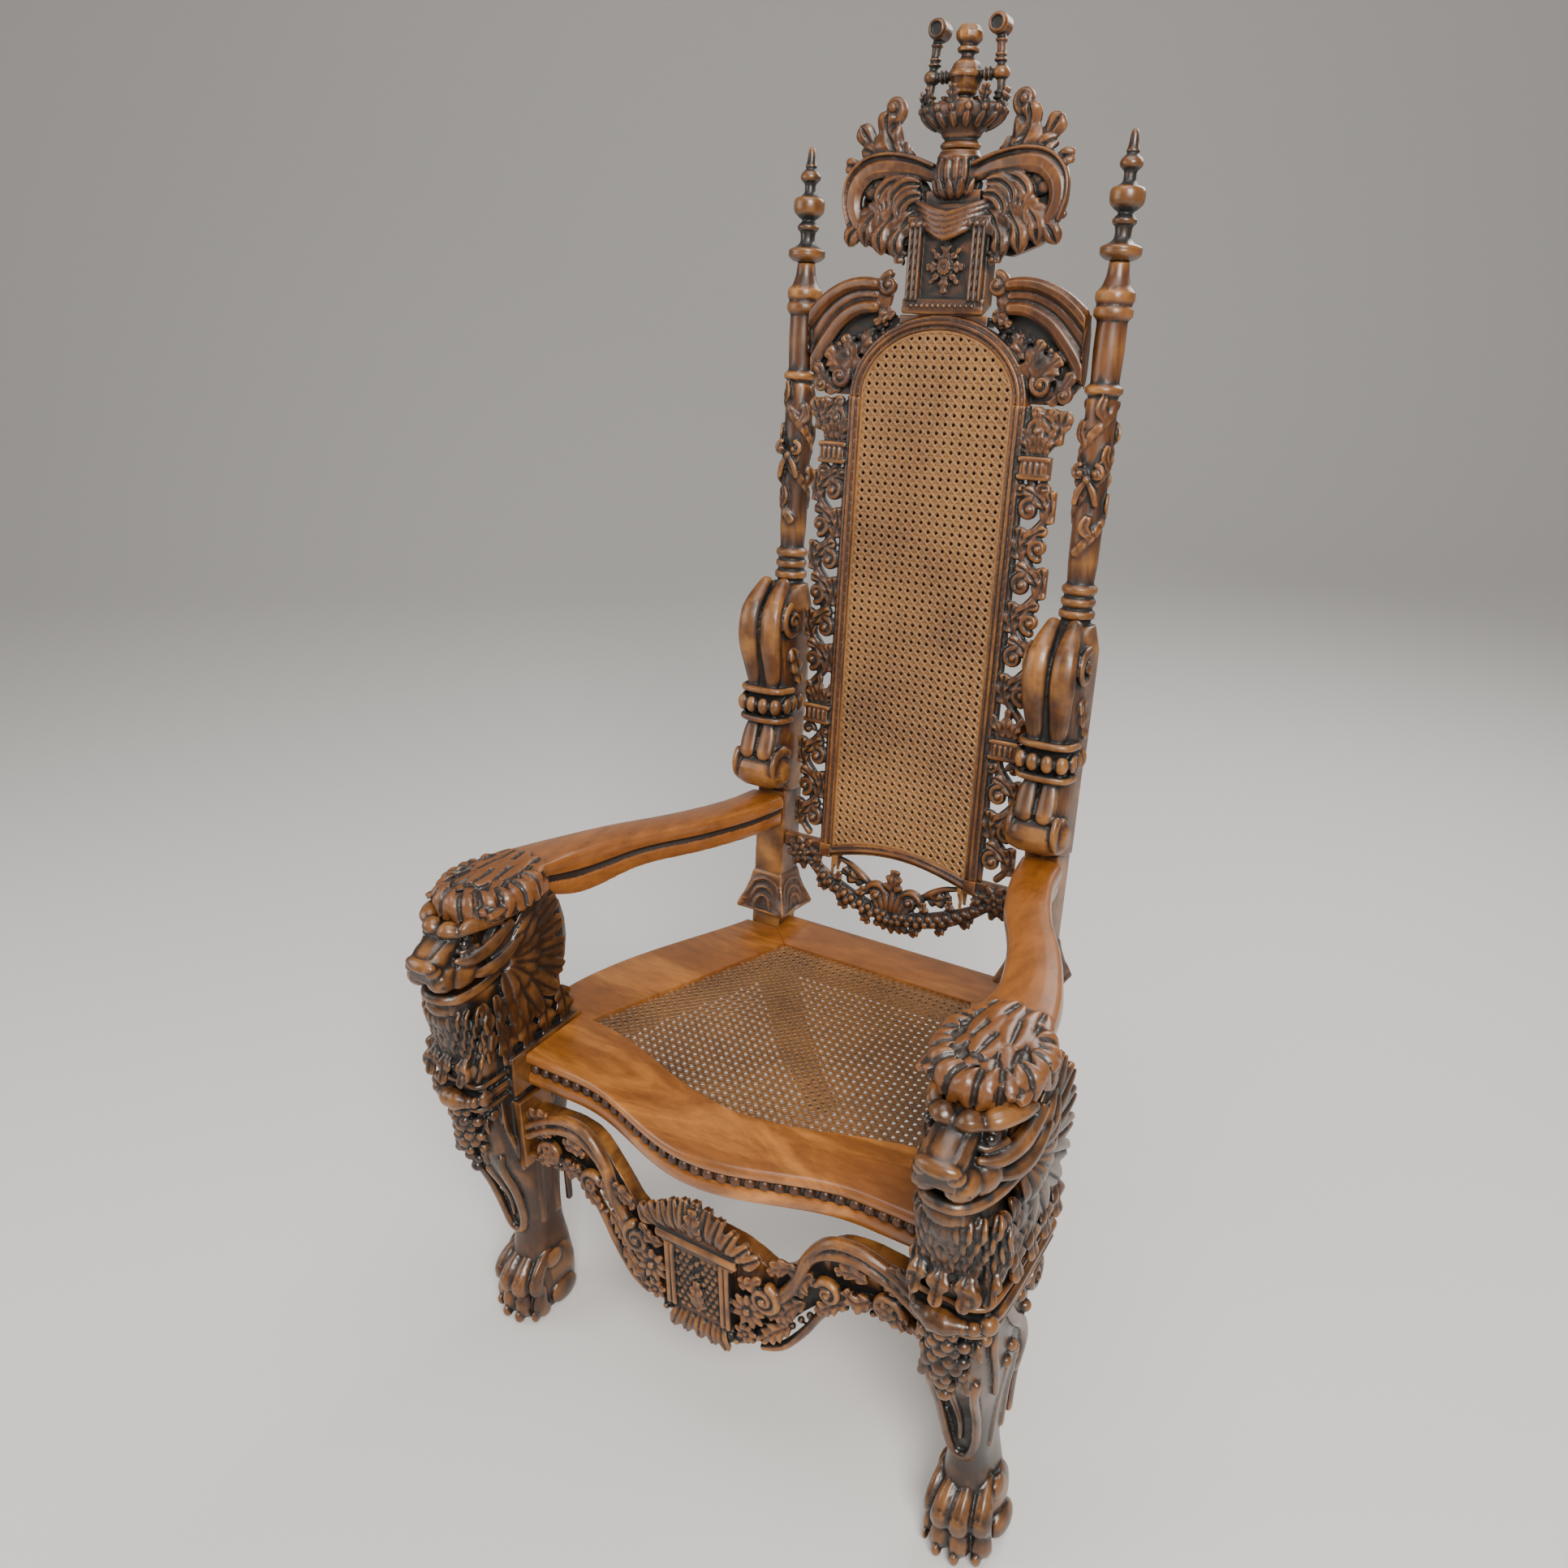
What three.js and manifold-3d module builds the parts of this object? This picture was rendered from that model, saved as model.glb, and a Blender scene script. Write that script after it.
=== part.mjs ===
// A carved hardwood throne with lion-headed front legs, turned rear posts, a pierced
// and crested back, and woven cane in the seat and the back.
// Units are millimetres. +Z is up, the sitter faces -Y, and the origin is on the floor
// under the middle of the throne.
import * as THREE from 'three';
import { mergeVertices } from 'three/addons/utils/BufferGeometryUtils.js';
import Module from 'manifold-3d';

const wasm = await Module();
wasm.setup();

// Driving sizes of the whole throne
const DEPTH = 800; // nose of the lions to the heels of the rear feet
const SEAT_HEIGHT = 486; // top of the seat frame
const SEAT_RAIL_HEIGHT = 50;
const POST_SPREAD = 448; // between the axes of the rear posts
const LEG_SPREAD = 720; // between the axes of the lion legs
const BACK_RAKE = THREE.MathUtils.degToRad(6.8);
const JOINT_GAP = 0.3; // the glue line between two pieces

// Lion legs
const LION_HEIGHT = 704; // floor to the top of the lion's skull
const LION_REAR = -160; // rear face of the leg
const LION_BLOCK_HALF = 52;

// Rear posts
const POST_SEAT_Y = 222; // post's axis at the height of the seat
const POST_SQUARE = 52;
const HEEL_SQUARE = 44;
const SHAFT_RADIUS = 20.5;
const COLLAR_HALF = 45;

// Arms
const ARM_REAR_TOP = 708;
const ARM_THICKNESS = 50;
const ARM_CAP_TOP = 752;
const ARM_CAP_HALF = 58;

// Seat
const SEAT_FRONT = -278; // front edge of the seat beside the legs
const SEAT_BOW = 50; // how far the middle of the front edge stands out
const SEAT_REAR = 239;
const CANE_REAR = 153;
const CANE_REAR_HALF = 160;
const CANE_FRONT = -166;
const CANE_FRONT_HALF = 284;
const CANE_BOW = 62;
const CANE_THICKNESS = 3;
const CANE_DROP = 4; // top of the seat cane below the top of the rails

// Back, measured up the slope from the seat
const BACK_OPENING_HALF = 111;
const MOULDING_WIDTH = 20;
const MOULDING_DEPTH = 28;
const BACK_FRONT = -28; // front of the back, before the posts' axes
const BACK_BOTTOM = 150;
const BACK_BOTTOM_RISE = 26;
const ARCH_SPRING = 820;
const ARCH_RISE = 88;
const ARCH_STEPS = 10;
const FRET_WIDTH = 52;
const FRET_DEPTH = 20;
const SHIELD_HEIGHT = 118;
const SHIELD_HALF = 58;
const SHIELD_FACE = -22;
const CUP_HEIGHT = 58;
const CREST_PLANE = -5;

// Front apron
const APRON_Y = -286;
const APRON_DEPTH = 34;
const APRON_TOP = 416;
const APRON_BOTTOM = 176;

// Levels up the slope of the back that follow from the sizes above
const CREST_BASE = ARCH_SPRING + ARCH_RISE + MOULDING_WIDTH + JOINT_GAP;
const RAIL_TOP = CREST_BASE + 62; // top of the arched rails beside the shield
const CUP_BASE = CREST_BASE + SHIELD_HEIGHT + 22;
const CROWN_BASE = CUP_BASE + CUP_HEIGHT;
const SHAFT_TOP = CREST_BASE + 65; // where the spires stand on the posts
const STILE_LOW = BACK_BOTTOM + 8;
const BLOCK_LOW = STILE_LOW + 0.283 * (ARCH_SPRING - STILE_LOW);
const BLOCK_HIGH = STILE_LOW + 0.861 * (ARCH_SPRING - STILE_LOW);

const LEG_X = LEG_SPREAD / 2;
const POST_X = POST_SPREAD / 2;
const SEAT_BOTTOM = SEAT_HEIGHT - SEAT_RAIL_HEIGHT;
const slopeLength = (z) => (z - SEAT_HEIGHT) / Math.cos(BACK_RAKE);
const vec = (x, y, z) => new THREE.Vector3(x, y, z);
const mix = (a, b, t) => a + (b - a) * t;

// Turning a three.js geometry into a closed solid and back

function solidOf(geometry) {
  const bare = geometry.clone();
  bare.deleteAttribute('normal');
  bare.deleteAttribute('uv');
  const merged = mergeVertices(bare, 1e-4);
  const index = merged.index.array;
  const kept = [];
  for (let i = 0; i < index.length; i += 3) {
    const [a, b, c] = [index[i], index[i + 1], index[i + 2]];
    if (a !== b && b !== c && c !== a) kept.push(a, b, c);
  }
  return new wasm.Manifold(new wasm.Mesh({
    numProp: 3,
    vertProperties: new Float32Array(merged.attributes.position.array),
    triVerts: new Uint32Array(kept),
  }));
}

function fuse(parts) {
  return parts.reduce((whole, part) => whole.add(part));
}

function geometryOf(solid) {
  const mesh = solid.getMesh();
  const geometry = new THREE.BufferGeometry();
  geometry.setAttribute('position', new THREE.BufferAttribute(Float32Array.from(mesh.vertProperties), 3));
  geometry.setIndex(Array.from(mesh.triVerts));
  return geometry;
}

function mirrored(geometry) {
  const copy = geometry.clone();
  copy.scale(-1, 1, 1);
  const index = Array.from(copy.index.array);
  for (let i = 0; i < index.length; i += 3) {
    [index[i], index[i + 1]] = [index[i + 1], index[i]];
  }
  copy.setIndex(index);
  return copy;
}

const shifted = (solid, x, y, z) => solid.translate([x, y, z]);

// Keeps the largest body of a cut solid
function largest(solid) {
  const bodies = solid.decompose();
  return bodies.reduce((best, body) => (body.volume() > best.volume() ? body : best));
}

// Basic carved forms

function box(x0, x1, y0, y1, z0, z1) {
  const g = new THREE.BoxGeometry(x1 - x0, y1 - y0, z1 - z0);
  g.translate((x0 + x1) / 2, (y0 + y1) / 2, (z0 + z1) / 2);
  return solidOf(g);
}

// An egg of three radii, turned by tilt about X, lean about Y and turn about Z
function egg(centre, radii, turns = [0, 0, 0], around = 5, down = 3) {
  const g = new THREE.SphereGeometry(1, around, down);
  g.rotateX(Math.PI / 2);
  g.scale(...radii);
  g.applyMatrix4(new THREE.Matrix4().makeRotationFromEuler(new THREE.Euler(...turns)));
  g.translate(...centre);
  return solidOf(g);
}

function berry(centre, radius) {
  const g = new THREE.OctahedronGeometry(radius, 0);
  g.translate(...centre);
  return solidOf(g);
}

// Rings of points joined into one closed skin with flat ends
function loft(rings) {
  const count = rings[0].length;
  const positions = [];
  const index = [];
  rings.forEach((ring) => ring.forEach((p) => positions.push(p.x, p.y, p.z)));
  for (let i = 0; i < rings.length - 1; i += 1) {
    for (let j = 0; j < count; j += 1) {
      const a = i * count + j;
      const b = i * count + ((j + 1) % count);
      index.push(a, b, b + count, a, b + count, a + count);
    }
  }
  const last = (rings.length - 1) * count;
  for (let j = 1; j < count - 1; j += 1) {
    index.push(0, j + 1, j);
    index.push(last, last + j, last + j + 1);
  }
  const g = new THREE.BufferGeometry();
  g.setAttribute('position', new THREE.Float32BufferAttribute(positions, 3));
  g.setIndex(index);
  const solid = solidOf(g);
  return solid.volume() > 0 ? solid : solidOf(flipped(g));
}

function flipped(geometry) {
  const index = Array.from(geometry.index.array);
  for (let i = 0; i < index.length; i += 3) {
    [index[i], index[i + 1]] = [index[i + 1], index[i]];
  }
  geometry.setIndex(index);
  return geometry;
}

// A round or flattened stem along a smooth curve, thick as the radii say
function stem(points, radii, sides = 5, steps = 6, flat = 1, up = vec(0, 1, 0)) {
  const curve = new THREE.CatmullRomCurve3(points);
  const rings = [];
  for (let i = 0; i <= steps; i += 1) {
    const t = i / steps;
    const along = curve.getTangent(t);
    const side = new THREE.Vector3().crossVectors(along, up).normalize();
    const rise = new THREE.Vector3().crossVectors(side, along).normalize();
    const at = curve.getPoint(t);
    const share = t * (radii.length - 1);
    const k = Math.min(Math.floor(share), radii.length - 2);
    const r = mix(radii[k], radii[k + 1], share - k);
    const ring = [];
    for (let j = 0; j < sides; j += 1) {
      const a = (2 * Math.PI * (j + 0.5)) / sides;
      const p = at.clone();
      p.addScaledVector(side, r * Math.cos(a));
      p.addScaledVector(rise, r * flat * Math.sin(a));
      ring.push(p);
    }
    rings.push(ring);
  }
  return loft(rings);
}

// A carved leaf: a lobed outline that rises to a point on its rib, with steep edges where it
// stands free and none where it lies on a board
function leaf(base, angle, length, width, depth, free = false) {
  const edge = [[0, 0.13], [0.5, 0.5], [0.66, 0.24]];
  const side = [...edge, [1, 0], ...edge.slice().reverse().map(([u, v]) => [u, -v])];
  const at = ([u, v], y) => {
    const along = u * length;
    const across = v * width;
    return vec(
      base[0] + along * Math.cos(angle) - across * Math.sin(angle),
      base[1] + y,
      base[2] + along * Math.sin(angle) + across * Math.cos(angle),
    );
  };
  const ring = free ? side.map((p) => at(p, -depth * 0.35)) : [];
  return capped(side.map((p) => at(p, depth)), ring, at([0.45, 0], -depth));
}

// A flat foot, an upper ring where there is one, and one top point joined into a closed solid
function capped(foot, ring, tip) {
  const n = foot.length;
  const points = [...foot, ...ring, tip];
  const flat = THREE.ShapeUtils.triangulateShape(foot.map((p) => new THREE.Vector2(p.x, p.z)), []);
  const index = [];
  flat.forEach(([a, b, c]) => index.push(a, b, c));
  for (let i = 0; i < n; i += 1) {
    const j = (i + 1) % n;
    if (ring.length) index.push(i, n + j, j, i, n + i, n + j, n + i, 2 * n, n + j);
    else index.push(i, n, j);
  }
  const g = new THREE.BufferGeometry();
  g.setAttribute('position', new THREE.Float32BufferAttribute(points.flatMap((p) => [p.x, p.y, p.z]), 3));
  g.setIndex(index);
  const area = flat.reduce((sum, [a, b, c]) => {
    const [p, q, r] = [foot[a], foot[b], foot[c]];
    return sum + (q.x - p.x) * (r.z - p.z) - (r.x - p.x) * (q.z - p.z);
  }, 0);
  const outline = foot.reduce((sum, p, i) => {
    const q = foot[(i + 1) % n];
    return sum + p.x * q.z - q.x * p.z;
  }, 0);
  if (Math.sign(area) !== Math.sign(outline)) {
    for (let i = 0; i < flat.length * 3; i += 3) {
      [index[i], index[i + 1]] = [index[i + 1], index[i]];
    }
    g.setIndex(index);
  }
  const solid = solidOf(g);
  return solid.volume() > 0 ? solid : solidOf(flipped(g));
}

// A round flower with scalloped petals that rises to a button
function rosette(x, y, z, radius, depth, petals = 5) {
  const ring = [];
  for (let i = 0; i < petals * 2; i += 1) {
    const a = (Math.PI * i) / petals;
    const r = radius * (i % 2 === 0 ? 1 : 0.78);
    ring.push([r * Math.cos(a), r * Math.sin(a)]);
  }
  const foot = ring.map(([u, w]) => vec(x + u, y + depth, z + w));
  return capped(foot, [], vec(x, y - depth, z));
}

function turned(profile, sides) {
  const points = profile.map(([r, z]) => new THREE.Vector2(r, z));
  const g = new THREE.LatheGeometry(points, sides);
  g.rotateX(Math.PI / 2);
  return solidOf(g);
}

function plate(outline, z0, z1) {
  const shape = new THREE.Shape(outline.map(([x, y]) => new THREE.Vector2(x, y)));
  const g = new THREE.ExtrudeGeometry(shape, { depth: z1 - z0, bevelEnabled: false });
  g.translate(0, 0, z0);
  return solidOf(g);
}

// A plate that stands in the plane of the back, from y0 to y1
function board(outline, y0, y1) {
  const shape = new THREE.Shape(outline.map(([x, z]) => new THREE.Vector2(x, z)));
  const g = new THREE.ExtrudeGeometry(shape, { depth: y1 - y0, bevelEnabled: false });
  g.rotateX(Math.PI / 2);
  g.translate(0, y1, 0);
  return solidOf(g);
}

// Lion leg

// Height, front, rear and half width of the leg, as the carver's pattern gives them
const LION_PATTERN_HEIGHT = 704;
const LEG_SECTIONS = [
  // height, front, rear, half width, how far the locks of the mane stand out
  [0, -282, -196, 34, 0],
  [46, -300, -188, 40, 0],
  [96, -292, -192, 33, 0],
  [150, -282, -200, 28, 0],
  [230, -292, -196, 33, 0],
  [300, -324, -178, 44, 0],
  [360, -350, -166, 48, 0],
  [440, -362, -160, 50, 0],
  [500, -364, -162, 47, 4],
  [560, -352, -163, 48, -4],
  [620, -330, -163, 48, 4],
  [664, -310, -166, 49, -3],
  [704, -300, -176, 48, 3],
];

function legRing(height, front, rear, half, lock, sides) {
  const ring = [];
  const middle = (front + rear) / 2;
  const reach = (rear - front) / 2;
  const round = (v) => Math.sign(v) * Math.abs(v) ** 0.7;
  for (let j = 0; j < sides; j += 1) {
    const a = (2 * Math.PI * (j + 0.5)) / sides;
    const out = lock * (j % 2 === 0 ? 1 : -1);
    ring.push(vec((half + out) * round(Math.cos(a)), middle + (reach + out) * round(Math.sin(a)), height));
  }
  return ring;
}

function pawToes() {
  const toes = [];
  for (let i = 0; i < 4; i += 1) {
    const x = (i - 1.5) * 20;
    const reach = i === 1 || i === 2 ? 8 : -6;
    toes.push(stem([
      vec(x * 0.8, -276 - reach, 112), vec(x, -300 - reach, 82), vec(x, -292 - reach, 48),
      vec(x * 1.05, -296 - reach, 26), vec(x * 1.05, -276 - reach, -10),
    ], [9, 14, 11, 14, 9], 4, 3, 1, vec(1, 0, 0)));
  }
  return toes;
}

const slab = (y, low, high, half, lean = 0.85) => [
  vec(-half, y, low), vec(half, y, low), vec(half * lean, y, high), vec(-half * lean, y, high),
];

function lionFace() {
  const nose = -DEPTH / 2;
  const parts = [];
  parts.push(egg([0, -258, 660], [55, 60, 50], [0, 0, 0], 8, 4));
  parts.push(loft([
    slab(-296, 676, 712, 26), slab(-344, 668, 706, 21), slab(nose + 20, 650, 684, 25), slab(nose, 658, 676, 15),
  ]));
  parts.push(loft([
    slab(-280, 570, 602, 36), slab(-340, 574, 612, 32), slab(-376, 592, 630, 24), slab(-386, 606, 630, 16),
  ]));
  for (const side of [-1, 1]) {
    parts.push(egg([side * 22, -366, 648], [21, 26, 18], [0.1, 0, side * 0.2], 5, 3));
    parts.push(egg([side * 25, -322, 700], [24, 24, 15], [0, side * 0.3, 0], 4, 3));
    parts.push(berry([side * 22, -312, 680], 12));
    parts.push(egg([side * 42, -276, 646], [15, 36, 24], [0.5, 0, 0], 4, 3));
    parts.push(berry([side * 52, -236, 686], 18));
  }
  return parts;
}

// Beard and side locks of the mane, that hang and sweep back
function lionMane() {
  const locks = [];
  const lock = (x, y, z, length, thick, tilt) => egg([x, y, z], [thick, thick * 1.3, length], [tilt, 0, 0], 4, 2);
  for (const side of [-1, 1]) {
    locks.push(lock(side * 44, -250, 610, 62, 22, 0.2));
    locks.push(lock(side * 22, -346, 556, 46, 19, -0.1));
  }
  locks.push(lock(0, -356, 548, 48, 20, -0.15));
  return locks;
}

// Leaf collar, beaded belt and hanging fruit on the chest
function lionChest() {
  const parts = [];
  parts.push(egg([0, -366, 506], [32, 23, 19]));
  parts.push(egg([0, -368, 452], [17, 15, 16]));
  for (const side of [-1, 1]) {
    parts.push(egg([side * 34, -352, 452], [15, 17, 15], [0, 0, 0], 4, 2));
  }
  const rows = [[414, 3], [380, 2], [346, 2], [312, 1]];
  for (const [z, count] of rows) {
    for (let i = 0; i < count; i += 1) {
      parts.push(berry([(i - (count - 1) / 2) * 24, -362 + Math.max(0, 390 - z) * 0.42, z], 17));
    }
  }
  return parts;
}

function lionSolid() {
  const rings = LEG_SECTIONS.map(([z, f, r, half, lock]) => legRing(z, f, r, half, lock, 8));
  const parts = [loft(rings), ...pawToes(), ...lionFace(), ...lionMane(), ...lionChest()];
  parts.push(box(-LION_BLOCK_HALF, 44, -306, LION_REAR, SEAT_BOTTOM - 6, SEAT_HEIGHT + 6));
  parts.push(box(-LION_BLOCK_HALF, 20, -300, -236, APRON_TOP - 112, APRON_TOP));
  const pattern = fuse(parts).scale([1, 1, LION_HEIGHT / LION_PATTERN_HEIGHT]);
  // Flat sole on the floor, flat seat for the arm, and flat faces where the rails meet the leg
  const far = 2 * DEPTH;
  const room = box(-LION_BLOCK_HALF, far, -far, LION_REAR, 0, LION_HEIGHT);
  const brows = box(-far, far, -far, LION_REAR, SEAT_HEIGHT + 8, LION_HEIGHT);
  const paw = box(-far, far, -far, LION_REAR, 0, APRON_BOTTOM - 20);
  return largest(pattern.intersect(fuse([room, brows, paw])));
}

// Arm: a moulded rail that swings out and forward, and ends in the cap of the mane
const ARM_SECTIONS = [
  // y, share of the step from post to leg, half width, rise of the top, thickness
  [0.0, 0.03, 31, 0, 1],
  [0.16, 0.12, 31, 3, 1],
  [0.36, 0.34, 33, 10, 1],
  [0.57, 0.66, 35, 17, 1.05],
  [0.76, 0.88, 38, 23, 1.35],
  [0.88, 0.96, 40, 27, 1.7],
  [1, 1, 44, 32, 1.1],
];

function armSolid() {
  const rear = postAxisY(ARM_REAR_TOP - ARM_THICKNESS) - POST_SQUARE / 2 - 2 * JOINT_GAP;
  const front = LION_REAR - 48;
  const rings = ARM_SECTIONS.map(([t, out, half, rise, thick]) => {
    const y = mix(rear, front, t);
    const x = mix(POST_X, LEG_X, out);
    const top = ARM_REAR_TOP + rise;
    const low = top - ARM_THICKNESS * thick;
    return [
      vec(x - half + 9, y, low), vec(x + half - 9, y, low), vec(x + half - 9, y, top - 24),
      vec(x + half, y, top - 13), vec(x + half - 9, y, top), vec(x - half + 9, y, top),
      vec(x - half, y, top - 13), vec(x - half + 9, y, top - 24),
    ];
  });
  const parts = [loft(rings)];
  const capLow = LION_HEIGHT + JOINT_GAP;
  const cap = [
    [front + 20, 40, ARM_CAP_TOP - 18], [front - 20, 52, ARM_CAP_TOP - 10], [front - 66, ARM_CAP_HALF, ARM_CAP_TOP - 10],
    [front - 104, ARM_CAP_HALF - 6, ARM_CAP_TOP - 18], [front - 128, 34, ARM_CAP_TOP - 34],
  ];
  parts.push(loft(cap.map(([y, half, top]) => [
    vec(LEG_X - half, y, capLow), vec(LEG_X + half, y, capLow), vec(LEG_X + half - 3, y, mix(capLow, top, 0.6)),
    vec(LEG_X + half * 0.5, y, top), vec(LEG_X - half * 0.5, y, top), vec(LEG_X - half + 3, y, mix(capLow, top, 0.6)),
  ])));
  // Locks of hair on the cap, in rows that overlap like scales
  const rows = [[-92, 4, 24], [-52, 3, 30], [-10, 2, 30]];
  for (const [step, count, pitch] of rows) {
    for (let i = 0; i < count; i += 1) {
      const x = LEG_X + (i - (count - 1) / 2) * pitch;
      const z = ARM_CAP_TOP - (step < -80 ? 22 : 11);
      parts.push(egg([x, front + step, z], [17, 30, 14], [step < -80 ? 0.3 : 0.05, 0, 0], 4, 2));
    }
  }
  const arm = fuse(parts);
  const behind = box(0, DEPTH, LION_REAR + JOINT_GAP, rear, 0, 2 * DEPTH);
  const above = box(0, DEPTH, -DEPTH, LION_REAR + 1, capLow, 2 * DEPTH);
  return largest(arm.intersect(fuse([behind, above])));
}

// Rear post
const postAxisY = (z) => POST_SEAT_Y + (z - SEAT_HEIGHT) * Math.tan(BACK_RAKE);
const squareRing = (half, z, y = 0) => [
  vec(-half, y - half, z), vec(half, y - half, z), vec(half, y + half, z), vec(-half, y + half, z),
];

// Height on the post, up the slope from the seat, of what it carries
const CONSOLE_LOW = slopeLength(712);
const CONSOLE_HIGH = slopeLength(1030);

function consoleSolid() {
  // Side view of the scroll bracket: reach before the post's axis, against height share
  const outline = [
    [0, 34], [0.06, 76], [0.14, 86], [0.24, 74], [0.38, 66], [0.42, 80], [0.5, 80], [0.54, 70],
    [0.74, 90], [0.9, 78], [1, 20],
  ];
  const span = CONSOLE_HIGH - CONSOLE_LOW;
  const halfAt = (t) => (t < 0.4 ? mix(38, 33, t / 0.4) : mix(34, 40, (t - 0.4) / 0.6));
  const rings = outline.map(([t, reach]) => {
    const z = CONSOLE_LOW + t * span;
    const half = halfAt(t) + (t > 0.41 && t < 0.51 ? 5 : 0);
    return [
      vec(-half + 5, 12, z), vec(-half, -reach * 0.55, z), vec(-half * 0.6, -reach * 0.97, z),
      vec(-2, -reach * 0.93, z), vec(2, -reach * 0.93, z), vec(half * 0.6, -reach * 0.97, z),
      vec(half, -reach * 0.55, z), vec(half - 5, 12, z),
    ];
  });
  const parts = [loft(rings)];
  for (const side of [-1, 1]) {
    const eye = new THREE.CylinderGeometry(16, 16, 8, 6);
    eye.rotateZ(Math.PI / 2);
    eye.translate(side * 38, -52, CONSOLE_LOW + 0.12 * span);
    parts.push(solidOf(eye));
  }
  return fuse(parts);
}

function postSolid() {
  const s = slopeLength;
  const half = POST_SQUARE / 2;
  const parts = [];
  parts.push(loft([squareRing(half, -40), squareRing(half, CONSOLE_LOW + 20)]));
  // The flared leaf collar above the seat, with drawn-out corners
  parts.push(loft([
    squareRing(half - 1, s(504)), squareRing(COLLAR_HALF, s(505)), squareRing(COLLAR_HALF - 9, s(522)),
    squareRing(half + 3, s(552)), squareRing(half + 1, s(570)),
  ]));
  const r = SHAFT_RADIUS;
  const ring = CONSOLE_HIGH + 20;
  const capital = SHAFT_TOP - 62;
  parts.push(turned([
    [0, CONSOLE_LOW + 5], [r, CONSOLE_LOW + 5], [r, ring], [r + 4, ring + 8], [r, ring + 16],
    [r + 4, ring + 24], [r, ring + 32], [r, capital - 98], [r + 4, capital - 88], [r, capital - 78],
    [r, capital - 5], [r + 4, capital], [r + 4, capital + 27], [r - 8, SHAFT_TOP], [0, SHAFT_TOP],
  ], 8));
  // Foliage and a ribbon bow round the middle of the shaft
  for (let i = 0; i < 5; i += 1) {
    const a = i * 2.4;
    const z = mix(ring + 90, capital - 152, i / 4);
    parts.push(egg([(r - 4) * Math.cos(a), (r - 4) * Math.sin(a), z], [13, 13, 34], [0.3, 0, a], 4, 2));
  }
  parts.push(consoleSolid());
  const upright = fuse(parts).rotate([-THREE.MathUtils.radToDeg(BACK_RAKE), 0, 0])
    .translate([0, POST_SEAT_Y, SEAT_HEIGHT]);
  // The rear leg sweeps back to the floor
  const heelY = DEPTH / 2 - HEEL_SQUARE / 2;
  const leg = [];
  const steps = 4;
  for (let i = 0; i <= steps; i += 1) {
    const t = i / steps;
    const size = mix(HEEL_SQUARE, POST_SQUARE, t) / 2;
    const y = mix(heelY, POST_SEAT_Y, 1 - (1 - t) ** 1.8);
    leg.push(squareRing(size, t * (SEAT_HEIGHT - 2), y));
  }
  return fuse([upright, loft(leg)]);
}

// Finial: a turned spire of three knobs that stands on the post
function finialSolid() {
  return turned([
    [0, JOINT_GAP], [12, JOINT_GAP], [12, 1], [25, 8], [25, 17], [11, 26], [11, 40], [15, 47],
    [9, 55], [21.5, 69], [21.5, 78], [8, 88], [8, 101], [14, 110], [7, 120], [4, 145], [0, 147],
  ], 8);
}

// Seat rails

function bowCurve(half, edge, bow, steps, power) {
  const points = [];
  for (let i = 0; i <= steps; i += 1) {
    const x = mix(-half, half, i / steps);
    const u = Math.min(1, Math.abs(x) / (half * power));
    points.push([x, edge - bow * (0.5 + 0.5 * Math.cos(Math.PI * u))]);
  }
  return points;
}

function insetOutline(outline, gap) {
  const n = outline.length;
  let area = 0;
  for (let i = 0; i < n; i += 1) {
    const [x0, y0] = outline[i];
    const [x1, y1] = outline[(i + 1) % n];
    area += x0 * y1 - x1 * y0;
  }
  const turn = Math.sign(area);
  return outline.map(([x, y], i) => {
    const [px, py] = outline[(i + n - 1) % n];
    const [qx, qy] = outline[(i + 1) % n];
    const before = new THREE.Vector2(x - px, y - py).normalize();
    const after = new THREE.Vector2(qx - x, qy - y).normalize();
    const normal = new THREE.Vector2(-before.y - after.y, before.x + after.x).normalize();
    const reach = gap / Math.max(0.4, normal.dot(new THREE.Vector2(-before.y, before.x)));
    return [x + turn * reach * normal.x, y + turn * reach * normal.y];
  });
}

const legInner = LEG_X - LION_BLOCK_HALF;
const postInner = POST_X - POST_SQUARE / 2;
const postOuter = POST_X + POST_SQUARE / 2;
const postFront = POST_SEAT_Y - POST_SQUARE / 2 - SEAT_RAIL_HEIGHT * Math.tan(BACK_RAKE);
const SEAT_SIDE_HALF = LEG_X + 18;

function frontOutline() {
  const outer = bowCurve(legInner, SEAT_FRONT, SEAT_BOW, 12, 0.72);
  const inner = bowCurve(CANE_FRONT_HALF, CANE_FRONT, CANE_BOW, 10, 1).reverse();
  return [...outer, [legInner, LION_REAR], ...inner, [-legInner, LION_REAR]];
}

function sideOutline() {
  const outline = [[CANE_REAR_HALF, CANE_REAR], [CANE_FRONT_HALF, CANE_FRONT], [legInner, LION_REAR]];
  const steps = 7;
  for (let i = 0; i <= steps; i += 1) {
    const t = i / steps;
    const y = mix(LION_REAR, postFront, t);
    outline.push([mix(postOuter + 6, SEAT_SIDE_HALF, Math.cos((t * Math.PI) / 2) ** 1.15), y]);
  }
  outline.push([postInner, postFront]);
  return outline;
}

function rearOutline() {
  return [
    [-CANE_REAR_HALF, CANE_REAR], [CANE_REAR_HALF, CANE_REAR], [postInner, postFront],
    [postInner, SEAT_REAR], [-postInner, SEAT_REAR], [-postInner, postFront],
  ];
}

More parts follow.
